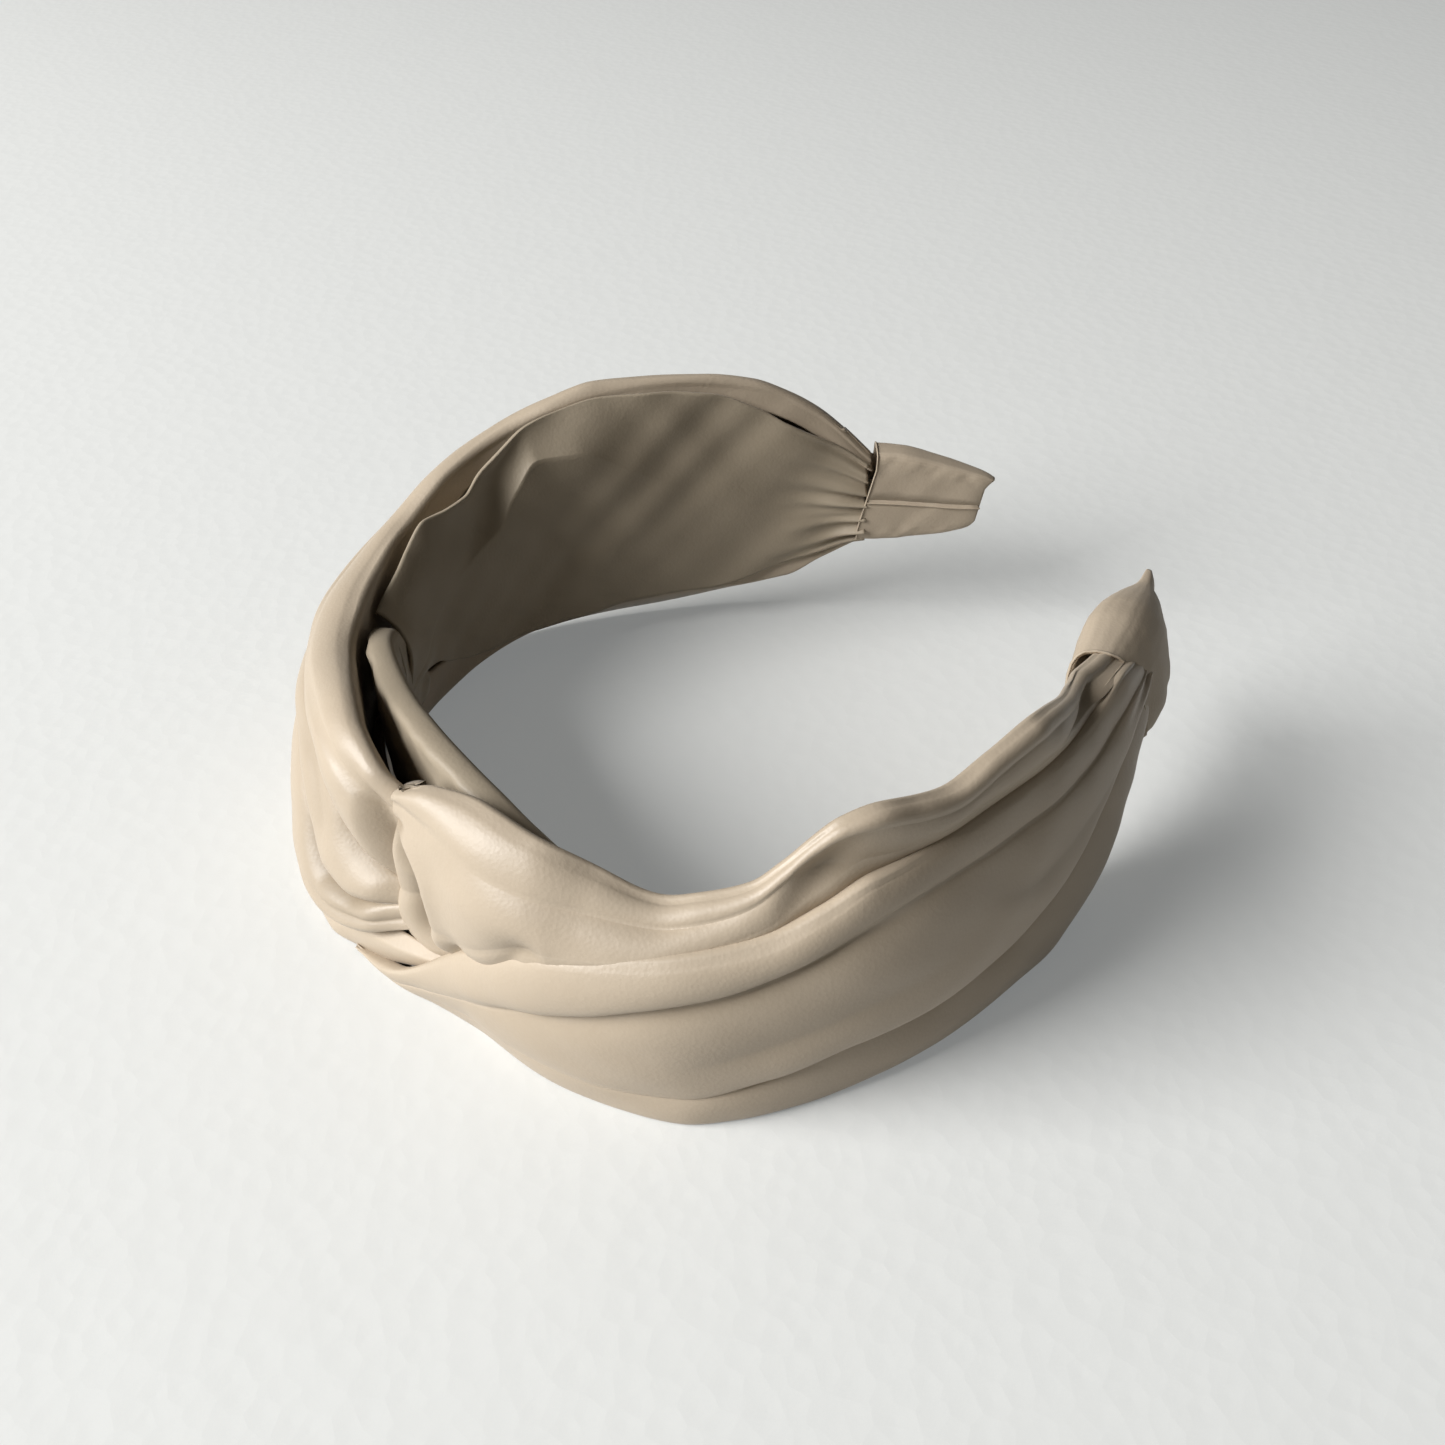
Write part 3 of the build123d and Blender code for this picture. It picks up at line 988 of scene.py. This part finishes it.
        recess = Rail.of(
            (-2, 17.5, 0.4), (8, 15.3, 1.1), (25, 11, 4.5), (40, 10.8, 5.6), (55, 10.2, 6.2),
            (66.7, 7.8, 9.4), (77, 5.2, 14.2), (90.5, 3.2, 15.4), (107, 2.6, 16.8), (118, 2.5, 19.2),
            (127, 2.4, 22.6), (135, 2.3, 26.4), (143, 2.3, 29.6), (151, 2.3, 31.6), (160, 2.6, 32.4),
        )
        under = Rail.of(
            (-2, 14.5, 0.3), (8, 12, 0.2), (15, 8, 0.2), (27, 3, 0.2), (47, 0.5, 0.2), (83, 0, 0.8),
            (110, -0.4, 0.3), (132, -0.6, 1.6), (144, -0.9, 9.5), (152, -1, 15.5), (160, -1, 20.5),
        )
        hem = Rail.of(
            (-2, 13.5, 0.5), (8, 11, 0.8), (15, 7, 1.5), (27, 2, 4), (47, -0.5, 5), (83, -0.6, 5.6),
            (110, -0.7, 5), (132, -0.8, 6), (144, -0.9, 13), (152, -1, 19), (160, -1, 24),
        )
        spans = (
            Span(8),
            Span(12, ((-2, 0.1), (8, 0.8), (24, 1.6), (80, 1.5), (116, 1.2), (160, 0.8)), 0.5),
            Span(22, ((-2, 0.1), (15, 0.5), (30, 1.2), (60, 1.3), (80, 0.7), (100, 0.4), (160, 0.3)), 0.75),
            Span(
                44,
                (
                    (-2, 0.05), (25, 0.4), (50, 0.9), (75, 1.6), (100, 2.2), (125, 2.0), (150, 0.9),
                    (160, 0.4),
                ),
                0.65,
            ),
            Span(8, ((-2, 0.0), (60, 0.1), (160, -0.2)), 1.0),
            Span(
                30,
                (
                    (-2, 0.05), (50, 0.4), (75, 2.0), (95, 3.6), (120, 4.8), (137, 4.4), (150, 2.8),
                    (160, 1.4),
                ),
                0.55,
            ),
            Span(12, ((-2, 0.05), (27, 0.5), (80, 0.8), (160, 0.6)), 0.6),
            Span(8),
        )
        creases = (
            Crease(
                (
                    (25, 12.8, 0.2), (42.6, 21, 1.5), (50.8, 25.8, 1.6), (63, 30.2, 1.3), (78, 37.4, 0.8),
                    (90, 40, 0.0),
                ),
                0.8, 2.6, 1.1,
            ),
            Crease(((54, 14, 0.0), (66, 18.5, 0.8), (80, 24, 0.7), (94, 27, 0.0)), 4.0, 3.0),
            Crease(((96, 33, 0.0), (112, 29, 0.7), (128, 30, 0.7), (142, 34, 0.0)), 3.6, 2.6),
        )
        return Drape(
            (back, behind, self.fold, second, third, recess, self.bottom, under, hem), spans, creases,
            Ripple(5, 0.25, 52, 17), (Gather(160, 24, 4.3, 0.45),),
        )

    def build(self, shop: Workshop) -> None:
        """Make both limbs, leave them unparented and hide the frame's parts that they stand for."""
        upper = shop.leather("right_wrap_upper", [self.upper()], "wrap")
        shop.carry(upper, Grip.CROWN_TO_RIGHT, ("right_knot_loop", "right_wrap_upper_limb"))
        shop.area(upper)
        lower = shop.leather("right_wrap_lower", [self.lower()], "wrap")
        shop.carry(
            lower, Grip.CROWN_TO_RIGHT, ("right_knot_lower_band", "right_wrap_lower_limb")
        )
        shop.area(lower)


@dataclass
class LeftWrap:
    """The left arm's wrap, whose pleats sweep over the crown into the knot."""

    top: Rail = Rail.of(
        (-162, 1, 39), (-156, 1.5, 45), (-150, 2, 50), (-143, 2.5, 54), (-137, 3, 56.5), (-127, 3, 58.5),
        (-115, 4, 59), (-105, 5, 59.2), (-96, 5, 57), (-87, 6, 53.6), (-73, 5.6, 49), (-62, 6.0, 43.6),
        (-50, 5.4, 42), (-40, 5.4, 41.8), (-30, 6.2, 42.2), (-20, 7.2, 44), (-12, 8.4, 45.5), (-4, 9.8, 45),
        (3, 10.0, 42.8), (8, 7.6, 39), (12, 6.2, 36), (24, 5, 27),
    )

    def upper(self) -> Drape:
        """Lay the upper limb: the rim, the front roll and the pleats."""
        hem = Rail.of(
            (-162, -0.5, 36), (-137, 0, 51), (-115, 0.5, 53), (-96, 1.5, 51), (-87, 2.6, 48),
            (-80, 3.2, 46), (-69, 3.8, 38), (-61, 4.8, 26), (-55, 5.4, 19), (-47, 5.6, 15), (-40, 5.4, 15),
            (-30, 5.2, 17), (-20, 5.6, 22), (-12, 6.2, 28), (0, 6.8, 34), (10, 4.4, 31), (24, 3.6, 24),
        )
        inner = Rail.of(
            (-162, -0.2, 37.6), (-150, 0.6, 48.6), (-137, 1.2, 55), (-115, 2.0, 57.6), (-96, 2.8, 55.4),
            (-87, 4.0, 52), (-73, 4.4, 47), (-62, 4.6, 41.6), (-50, 3.4, 40.6), (-40, 3.6, 40.2),
            (-30, 4.5, 39.6), (-20, 5.3, 41.2), (-12, 6.8, 42.6), (-4, 8.0, 42.2), (3, 8.2, 40),
            (8, 6.4, 37), (24, 4.2, 26),
        )
        roll = Rail.of(
            (-162, 2.4, 37.6), (-150, 4, 48), (-137, 5.4, 53.6), (-115, 7.4, 55.4), (-96, 8.8, 53.6),
            (-80, 10, 48.2), (-62, 11, 40.8), (-50, 11.8, 38.6), (-40, 12.2, 38.6), (-30, 12.6, 39.8),
            (-20, 13.0, 41.6), (-12, 13.4, 42.6), (-4, 13.8, 41.4), (2, 13.2, 38.8), (6, 10.4, 36.4),
            (10, 7.4, 34), (24, 5.2, 26),
        )
        first = Rail.of(
            (-162, 3.6, 33), (-140, 7, 42), (-115, 9.4, 42), (-90, 11.4, 40), (-62, 12.2, 35),
            (-45, 11.0, 35), (-35, 9.8, 35.6), (-24, 9.0, 35.2), (-12, 9.8, 34.4), (-7, 10.8, 31),
            (-4, 11.4, 26.5), (0, 11.6, 22.8), (4, 11.2, 21.2), (8, 8.6, 20.6), (12, 7, 20.4),
            (24, 5.4, 21),
        )
        second = Rail.of(
            (-162, 4, 28), (-140, 7.4, 30), (-115, 9.8, 28), (-90, 12, 26), (-62, 14, 26),
            (-45, 14.8, 27.5), (-34, 15.2, 28.5), (-24, 15.8, 27), (-16, 16.8, 21.5), (-12, 17.6, 16),
            (-8, 17.8, 13), (-2, 17.0, 13), (3, 15.2, 15), (7, 11.4, 16.6), (12, 7.6, 18.2), (24, 5.4, 19),
        )
        edge = Rail.of(
            (-162, 4, 24), (-140, 7, 20), (-115, 9.4, 16), (-90, 12, 12), (-62, 15, 8), (-45, 17, 6),
            (-30, 18.5, 4.5), (-16, 20.2, 4), (-8, 20.2, 5.5), (-2, 19, 7.2), (3, 17, 9.4), (8, 13, 12.4),
            (13, 9.4, 14.8), (24, 5.8, 16.5),
        )
        tuck = edge.moved(-4.0, 1.0)
        spans = (
            Span(10),
            Span(8, ((-162, 0.6), (24, 0.8)), 0.6),
            Span(10, ((-162, 0.8), (-60, 1.1), (24, 1.1)), 0.6),
            Span(
                30,
                ((-162, 0.5), (-62, 1.6), (-30, 3.2), (-12, 3.9), (2, 3.0), (7, 1.0), (12, 0.2), (24, 0.1)),
                0.5,
            ),
            Span(
                28,
                (
                    (-162, 0.2), (-62, 1.6), (-34, 3.2), (-16, 4.0), (-4, 3.4), (3, 2.6), (8, 1.0),
                    (13, 0.2), (24, 0.1),
                ),
                0.45,
            ),
            Span(
                26,
                (
                    (-162, 0.2), (-62, 1.4), (-34, 2.4), (-16, 3.2), (-4, 2.6), (3, 2.0), (9, 0.8),
                    (14, 0.2), (24, 0.1),
                ),
                0.5,
            ),
            Span(6, ((-162, 0.4), (24, 0.8)), 0.6),
        )
        creases = (
            Crease(
                ((-3, 43, 0.0), (4, 38.5, 1.3), (7, 30, 1.7), (8.2, 23, 1.5), (11, 20.5, 0.8)),
                1.3, 1.3, 1.1,
            ),
            Crease(((-14, 9.5, 0.0), (-6, 9.5, 1.0), (2, 11.5, 1.3), (10, 15.5, 1.0)), 1.3, 1.1, 1.1),
            Crease(
                (
                    (-48, 35, 0.0), (-35, 35.6, 0.8), (-24, 35.2, 1.6), (-12, 34.4, 2.8), (-7, 31, 2.8),
                    (-4, 26.5, 2.4), (0, 22.8, 2.0), (6, 20.6, 0.6),
                ),
                1.8, 2.2, 1.2,
            ),
            Crease(
                (
                    (-34, 28.5, 0.0), (-24, 27, 0.9), (-16, 21.5, 2.0), (-12, 16, 2.6), (-8, 13, 2.6),
                    (-2, 13, 2.3), (4, 15.4, 1.0),
                ),
                1.6, 1.8, 1.2,
            ),
            Crease(((-30, 32, 0.0), (-18, 31, 0.7), (-11, 26, 0.8), (-7, 19, 0.0)), 1.8, 1.8),
        )
        return Drape(
            (hem, inner, self.top, roll, first, second, edge, tuck), spans, creases, Ripple(8, 0.22, 50, 15),
            (Gather(-161, 26, 4.2, 0.5),),
        )

    def lower(self) -> Drape:
        """Lay the lower limb under the upper one's edge."""
        back = Rail.of(
            (-162, 1, 29), (-140, 4, 27), (-115, 6, 22), (-90, 8.4, 18), (-62, 11, 14), (-45, 12.6, 11),
            (-30, 14, 9), (-16, 15, 8.5), (-4, 14, 9), (8, 12, 11), (20, 9, 13),
        )
        crest = Rail.of(
            (-162, 3, 26), (-140, 6.2, 22), (-115, 8.6, 17), (-90, 11, 13), (-62, 13.6, 9), (-45, 15.4, 7),
            (-30, 17, 5.4), (-16, 18, 5), (-4, 17, 6.4), (8, 14, 9), (20, 9.6, 12),
        )
        bottom = Rail.of(
            (-162, 3.4, 21), (-152, 4.6, 15), (-144, 5.2, 10), (-132, 6, 5), (-115, 7.4, 2), (-90, 9.6, 1),
            (-62, 12.6, 0.4), (-45, 15.6, 0.2), (-34, 18, 0.2), (-24, 20, 0.2), (-16, 20.6, 0.2),
            (-8, 20, 0.2), (-2, 17, 0.4), (4, 14.5, 2), (10, 12, 5), (20, 8.6, 9),
        )
        under = Rail.of(
            (-162, -1, 21), (-152, -1, 15.5), (-144, -0.9, 11), (-132, -0.8, 9.5), (-110, -0.6, 9.4),
            (-90, 0, 8), (-62, 2, 3), (-45, 3.4, 0.6), (-30, 3.2, 0.2), (-16, 3.2, 0.2), (-2, 3.2, 0.4),
            (10, 3.6, 3), (20, 4.5, 7),
        )
        hem = Rail.of(
            (-162, -1, 25), (-144, -0.9, 15), (-132, -0.8, 13), (-110, -0.7, 13), (-90, -0.4, 12),
            (-62, 1.4, 12), (-45, 3.0, 15), (-30, 2.9, 17), (-16, 2.9, 18), (-2, 2.9, 18), (10, 3.2, 16),
            (20, 4, 14),
        )
        spans = (
            Span(8),
            Span(26, ((-162, 0.3), (-115, 0.8), (-45, 1.0), (-16, 1.0), (4, 0.8), (20, 0.3)), 0.7),
            Span(12, ((-162, 0.4), (-45, 0.6), (20, 0.3)), 0.6),
            Span(8),
        )
        return Drape(
            (back, crest, bottom, under, hem), spans, (),
            Ripple(9, 0.22, 50, 15), (Gather(-161, 24, 3.6, 0.45),),
        )

    def build(self, shop: Workshop) -> None:
        """Make both limbs, leave them unparented and hide the frame's parts that they stand for."""
        upper = shop.leather("left_wrap_upper", [self.upper()], "wrap")
        shop.carry(upper, Grip.CROWN_TO_LEFT, ("left_knot_loop", "left_wrap_upper_limb"))
        shop.area(upper)
        lower = shop.leather("left_wrap_lower", [self.lower()], "wrap")
        shop.carry(lower, Grip.CROWN_TO_LEFT, ("left_wrap_lower_limb",))
        shop.area(lower)


@dataclass
class Facings:
    """The flat leather inside each arm, and the tube round the bare hoop under the knot."""

    def left(self) -> list[Drape]:
        """Lay the left arm's facing, which turns outwards before the knot."""
        lower = Rail.of(
            (-161, -2, 21), (-158, -2, 20.2), (-150, -2, 17.2), (-143, -2, 14.6), (-134, -2, 11.8),
            (-125, -2, 10.2), (-110, -2, 10), (-100, -2, 9), (-80, -2, 9), (-70, -2, 10.5), (-62, -2, 14),
            (-56, -2, 17.5), (-48, -2, 18.6), (-43, -2, 19),
        )
        ridge = Rail.of(
            (-161, -2, 29), (-143, -2.3, 30), (-125, -2.5, 34), (-110, -2.7, 42), (-98, -2.8, 48.5),
            (-90, -2.8, 48.6), (-84, -2.8, 43), (-79, -2.8, 37), (-72, -2.8, 33.4), (-65, -2.7, 30.2),
            (-56, -2.6, 24), (-48, -2.4, 21), (-43, -2.2, 20.5),
        )
        top = Rail.of(
            (-161, -1.8, 37.4), (-156, -1.7, 41), (-150, -1.6, 44.6), (-143, -1.4, 48.6), (-137, -1.0, 52),
            (-127, -0.4, 55.8), (-115, 0.6, 57.4), (-105, 1.4, 57.6), (-96, 1.7, 56), (-90, 1.3, 54.6),
            (-85, 0.5, 52), (-79, 0.2, 48.6), (-73, -0.6, 45.8), (-68, -1.0, 45.6), (-63, 0.4, 45.6),
            (-57, 1.6, 42.4), (-48, 2.0, 39.2), (-43, 2.2, 38),
        )
        creases = (
            Crease(((-157, 35, 0.9), (-143, 40, 2.6), (-128, 45, 1.8), (-114, 48, 0.0)), 3.4, 2.6),
            Crease(((-158, 25, 0.7), (-144, 25, 2.2), (-126, 22, 1.6), (-110, 19, 0.0)), 4.0, 3.0),
            Crease(((-152, 31, 0.0), (-140, 33, -1.6), (-124, 36, -1.0), (-110, 37, 0.0)), 4.0, 4.0),
            Crease(((-108, 46, 0.0), (-100, 38, 1.4), (-95, 28, 1.2), (-93, 18, 0.0)), 6.0, 4.0),
            Crease(((-158, 39, 0.5), (-148, 44.5, 1.6), (-138, 50, 1.2), (-128, 53.5, 0.0)), 1.6, 2.2),
        )
        spans = (
            Span(34, ((-161, 0.2), (-130, 0.5), (-60, 0.3)), 1.0),
            Span(
                34,
                (
                    (-161, 0.2), (-110, 0.3), (-90, -0.5), (-76, -1.2), (-68, -0.3), (-60, 1.4), (-52, 2.4),
                    (-43, 2.6),
                ),
                0.9, -0.35,
            ),
        )
        sheet = Drape(
            (lower, ridge, top), spans, creases, Ripple(21, 0.7, 44, 24), (Gather(-161, 22, 5.5, 0.8, 6),)
        )
        return [sheet, self.tube(-52, -38.2)]

    def right(self) -> list[Drape]:
        """Lay the right arm's facing."""
        lower = Rail.of(
            (46, -2, 19), (54, -2, 14), (62, -2, 5), (70, -2, 1.6), (83, -2, 1.4), (110, -2, 1),
            (125, -2, 1.4), (132, -2, 3), (144, -2, 10.4), (152, -2, 16), (158, -2, 19.6),
        )
        middle = Rail.of((46, -2, 28), (70, -2.3, 28), (110, -2.4, 28), (158, -2, 28))
        top = Rail.of(
            (46, -1.6, 37), (52, -1.4, 37.6), (58, -1.4, 38.8), (64, -1.4, 41.2), (68, -1.4, 44.6),
            (72, -1.4, 48.4), (76, -1.4, 51.2), (81, -1.4, 52.2), (88, -1.4, 50.6), (95, -1.4, 49.4),
            (103, -1.5, 50.2), (112, -1.6, 50.8), (118, -1.8, 49.6), (130, -2, 44.8), (142, -2, 40.2),
            (150, -2, 38.2), (158, -2, 36.4),
        )
        spans = (
            Span(26, ((46, 0.1), (90, 0.7), (158, 0.2)), 1.0),
            Span(26, ((46, 0.1), (90, 0.7), (158, 0.2)), 1.0),
        )
        creases = (
            Crease(((70, 30, 0.0), (90, 34, 0.9), (120, 36, 0.7), (150, 33, 0.3)), 4.5, 3.5),
            Crease(((80, 14, 0.0), (110, 16, 0.8), (140, 22, 0.7), (156, 26, 0.3)), 4.5, 3.5),
        )
        sheet = Drape(
            (lower, middle, top), spans, creases, Ripple(22, 0.5, 40, 22), (Gather(158, 20, 5.5, 0.5, 6),)
        )
        return [sheet, self.tube(38.2, 60)]

    def tube(self, start: float, end: float) -> Drape:
        """Lay the leather tube round a bare length of the hoop.

        Its outer side stops short at a flexing place, so that the arm can open there.
        """
        lower_edge, relief = 13.0, 0.35
        steps = np.linspace(start, end, 9)
        crest = np.array((
            (-60, 15), (-50, 21), (-44, 31), (-40, 36.5), (-36, 39.4), (-28, 41.6),
            (-13, 43), (7, 45), (20, 44.4), (30, 42), (40, 38.4), (60, 36.5),
        ))
        tops = through(crest[:, 0], crest[:, 1], steps)[:, 0]
        corners_of = ((-1.7, 0.0), (-1.9, 1.0), (2.6, 1.0), (1.8, 0.0), (-1.7, 0.0))
        rails = []
        for out, share in corners_of:
            first = start + relief if out > 0 and abs(abs(start) - FLEX_AT) < 1 else start
            last = end - relief if out > 0 and abs(abs(end) - FLEX_AT) < 1 else end
            places = first + (last - first) * (steps - start) / (end - start)
            heights = lower_edge + (tops - lower_edge - 1.0) * share
            rails.append(Rail(tuple((float(s), out, float(up)) for s, up in zip(places, heights))))
        flat = ((start, 0.25), (end, 0.25))
        round_end = ((start, 0.8), (end, 0.8))
        spans = (Span(20, flat, 0.8), Span(8, round_end, 0.5), Span(20, flat, 0.8), Span(8, round_end, 0.5))
        return Drape(tuple(rails), spans, (), Ripple(31, 0.3, 18, 9), (), (0.0, 0.0), 0.7)

    def build(self, shop: Workshop) -> None:
        """Make the facings and the tube and fix them."""
        # The facing finish carries painted shade: it is the wrap leather darkened.
        left = shop.leather("left_facing", self.left(), "facing", 0.7)
        shop.carry(left, Grip.LEFT, ("left_inner_facing",))
        shop.area(left)
        right = shop.leather("right_facing", self.right(), "facing", 0.7)
        shop.carry(right, Grip.RIGHT, ("right_inner_facing",))
        shop.area(right)
        cover = shop.leather("crown_tube", [self.tube(-37.8, 37.8)], "facing", 0.6)
        shop.carry(cover, Grip.CROWN, ("crown_inner_strip", "crown_outer_strip"))
        shop.area(cover)


@dataclass
class TipSleeves:
    """The glued sleeves over the hoop's two tips."""

    def right(self) -> list[Drape]:
        """Lay the plump sleeve, drawn to a nipple at its tip."""
        sizes = (
            (0.0, 5.4, 10.9, 30.6), (0.14, 6.3, 11.4, 30.8), (0.30, 6.8, 11.6, 31.2), (0.46, 6.5, 10.6, 32.0),
            (0.60, 5.4, 8.4, 33.2), (0.74, 3.6, 5.2, 35.0), (0.85, 1.8, 2.4, 36.8), (0.93, 1.1, 1.2, 37.8),
            (1.0, 0.6, 0.6, 38.2),
        )
        return [self.capped(sizes, self.right_base, lambda turn: 186.0, 0.75, -1.2, 3.4)]

    @staticmethod
    def right_base(turn: float) -> float:
        """Give where the right sleeve starts, at this turn from the inside over the top."""
        marks = np.array([0, 0.25, 0.5, 0.62, 0.75, 1.0]) * 2 * math.pi
        starts = np.array([147.0, 151.5, 156.0, 158.0, 160.0, 147.0])
        return float(through(marks, starts, np.array([turn]))[0, 0])

    def left(self) -> list[Drape]:
        """Lay the flat sleeve with its slanting tip."""
        sizes = (
            (0.0, 3.6, 10.6, 30.8), (0.2, 3.5, 10.4, 30.6), (0.5, 3.0, 9.2, 30.0), (0.8, 2.3, 7.6, 29.4),
            (0.94, 1.7, 6.6, 29.2), (1.0, 1.1, 6.0, 29.0),
        )
        return [self.capped(sizes, self.left_base, lambda turn: 185.6 + 2.5 * math.sin(turn), 0.32, 0.4, 0.0)]

    @staticmethod
    def left_base(turn: float) -> float:
        """Give where the left sleeve starts, at this turn from the inside over the top."""
        return 161.0 + 1.7 * math.tanh(7.0 * math.sin(turn))

    @staticmethod
    def capped(
        sizes: Knots,
        base: Callable[[float], float],
        tip: Callable[[float], float],
        squareness: float,
        centre: float,
        lean: float,
    ) -> Drape:
        """Lay a closed sleeve.

        Args:
            sizes: (share of its length, half thickness, half height, middle height) marks.
            base: gives the start along the arm for each turn round it.
            tip: gives the end along the arm for each turn round it.
            squareness: 1 for an oval section, less for a flatter one.
            centre: how far outwards its middle lies.
            lean: how far its upper edge leans inwards at its widest.

        Returns:
            The lay of leather, for the right arm.
        """
        marks = np.array(sizes)
        rails = []
        for turn in np.linspace(0, 2 * math.pi, 25):
            start = base(float(turn))
            line = []
            for share in np.linspace(0, 1, 22):
                thick, tall, middle = through(marks[:, 0], marks[:, 1:], np.array([share]))[0]
                c, s = math.cos(turn), math.sin(turn)
                rise = math.copysign(abs(s) ** squareness, s)
                out = centre - math.copysign(abs(c) ** squareness, c) * thick - lean * rise * tall / 11.0
                up = middle + rise * tall
                line.append((start + (tip(float(turn)) - start) * share, out, up))
            rails.append(Rail(tuple(line)))
        spans = tuple(Span(3) for _ in rails[1:])
        return Drape(tuple(rails), spans, (), Ripple(41, 0.16, 14, 8), (), (0, 0), 0.5)

    def build(self, shop: Workshop) -> None:
        """Make the sleeves and fix them."""
        right = shop.leather("right_sleeve", self.right(), "sleeve", 0.6)
        shop.edged(right, [self.base_line(self.right()[0])], CutEdge())
        shop.carry(right, Grip.RIGHT, ("right_tip_sleeve",))
        shop.area(right)
        flat = self.mirrored(self.left()[0])
        left = shop.leather("left_sleeve", [flat], "sleeve", 0.6)
        seam = tuple((s, out - 0.1, up - 0.8) for s, out, up in flat.rails[0].marks)
        shop.edged(left, [self.base_line(flat, -1), seam], CutEdge(0.4, 0.3, 0.14, 9.0))
        shop.carry(left, Grip.LEFT, ("left_tip_sleeve",))
        shop.area(left)

    @staticmethod
    def base_line(drape: Drape, end: int = 0) -> Knots:
        """Give the places round a sleeve's open end, which is the rails' first or last mark."""
        return tuple(rail.marks[end] for rail in drape.rails)

    @staticmethod
    def mirrored(drape: Drape) -> Drape:
        """Give the same lay for the left arm."""
        rails = tuple(Rail(tuple((-s, o, u) for s, o, u in reversed(rail.marks))) for rail in drape.rails)
        return Drape(rails, drape.spans, drape.creases, drape.ripple, drape.gathers, drape.curl, drape.step)


@dataclass
class HoopCore:
    """The springy plastic core, kept as the frame has it."""

    nodes: tuple[str, ...] = ("hoop_crown", "hoop_left_arm", "hoop_right_arm")

    def build(self, frame: dict, finish: bpy.types.Material) -> None:
        """Give the core its finish.

        Args:
            frame: the loaded frame.
            finish: the core's material.
        """
        for name in self.nodes:
            core = frame["nodes"][name]
            core.data.materials.clear()
            core.data.materials.append(finish)
            LOG.info("%s: kept from the frame", name)


@dataclass
class Studio:
    """The camera, the table and the soft light."""

    eye: tuple[float, float, float] = (-0.1150, -0.1739, 0.1881)
    aim: tuple[float, float, float] = (-0.00785, -0.00467, 0.0250)
    lens: float = 35.93
    key_from: tuple[float, float, float] = (-0.80, 0.20, 0.53)
    key_power: float = 88.0
    key_size: float = 1.35
    key_distance: float = 2.2
    fill: tuple[float, float, float] = (1.0, 0.95, 0.85)
    fill_strength: float = 0.075

    def camera(self) -> None:
        """Set up the camera."""
        data = bpy.data.cameras.new("camera")
        data.lens = self.lens
        data.sensor_width = 36.0
        data.clip_start = 0.01
        data.clip_end = 20.0
        camera = bpy.data.objects.new("camera", data)
        camera.location = self.eye
        camera.rotation_euler = (Vector(self.aim) - Vector(self.eye)).to_track_quat("-Z", "Y").to_euler()
        bpy.context.scene.collection.objects.link(camera)
        bpy.context.scene.camera = camera

    def table(self) -> None:
        """Lay the pale table under the headband."""
        mesh = bpy.data.meshes.new("table")
        half = 3.0
        corners = [(-half, -half, 0), (half, -half, 0), (half, half, 0), (-half, half, 0)]
        mesh.from_pydata(corners, [], [(0, 1, 2, 3)])
        table = bpy.data.objects.new("table", mesh)
        mesh.materials.append(TableFinish().material())
        bpy.context.scene.collection.objects.link(table)
        table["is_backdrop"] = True

    def lamp(
        self, name: str, towards: tuple[float, float, float], far: float, size: float, power: float
    ) -> None:
        """Hang one square soft lamp.

        Args:
            name: the lamp's name.
            towards: the direction from the headband to the lamp.
            far: its distance in metres.
            size: its side in metres.
            power: its power in watts.
        """
        data = bpy.data.lights.new(name, "AREA")
        data.shape = "SQUARE"
        data.size = size
        data.energy = power
        lamp = bpy.data.objects.new(name, data)
        lamp.location = Vector(towards).normalized() * far
        lamp.rotation_euler = Vector(towards).to_track_quat("Z", "Y").to_euler()
        bpy.context.scene.collection.objects.link(lamp)

    def light(self) -> None:
        """Light the scene softly from the left."""
        self.lamp("key", self.key_from, self.key_distance, self.key_size, self.key_power)
        world = bpy.data.worlds.new("studio")
        world.use_nodes = True
        backdrop = world.node_tree.nodes["Background"]
        backdrop.inputs["Color"].default_value = (*self.fill, 1.0)
        backdrop.inputs["Strength"].default_value = self.fill_strength
        bpy.context.scene.world = world
        bpy.context.scene.view_settings.view_transform = "Standard"

    def build(self) -> None:
        """Set up everything round the headband."""
        self.camera()
        self.table()
        self.light()


def corners() -> list[list[float]]:
    """Read the shown object's box as plain numbers."""
    return [[float(v) for v in corner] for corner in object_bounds()]


def main() -> None:
    """Build the studio and the headband in order."""
    logging.basicConfig(level=logging.INFO, format="%(name)s: %(message)s")
    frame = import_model()
    Studio().build()
    finishes = {
        "wrap": LeatherFinish("wrap_leather").material(),
        # The facing finish is the wrap leather darkened by about a quarter, as painted shade on the inner
        # side of the arms and on the tubes.
        "facing": LeatherFinish(
            "facing_leather", (0.345, 0.288, 0.212), (0.275, 0.222, 0.155),
            (0.39, 0.33, 0.25), (0.19, 0.15, 0.1), 0.46,
        ).material(),
        "sleeve": LeatherFinish("sleeve_leather", roughness=0.5).material(),
    }
    crown_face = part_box("hoop_crown")[0].x / MM
    shop = Workshop(HoopLine(start_x=crown_face + CORE_HALF), finishes)
    HoopCore().build(frame, MouldedPlasticFinish().material())
    Facings().build(shop)
    LeftWrap().build(shop)
    RightWrap().build(shop)
    TipSleeves().build(shop)


if __name__ == "__main__":
    main()
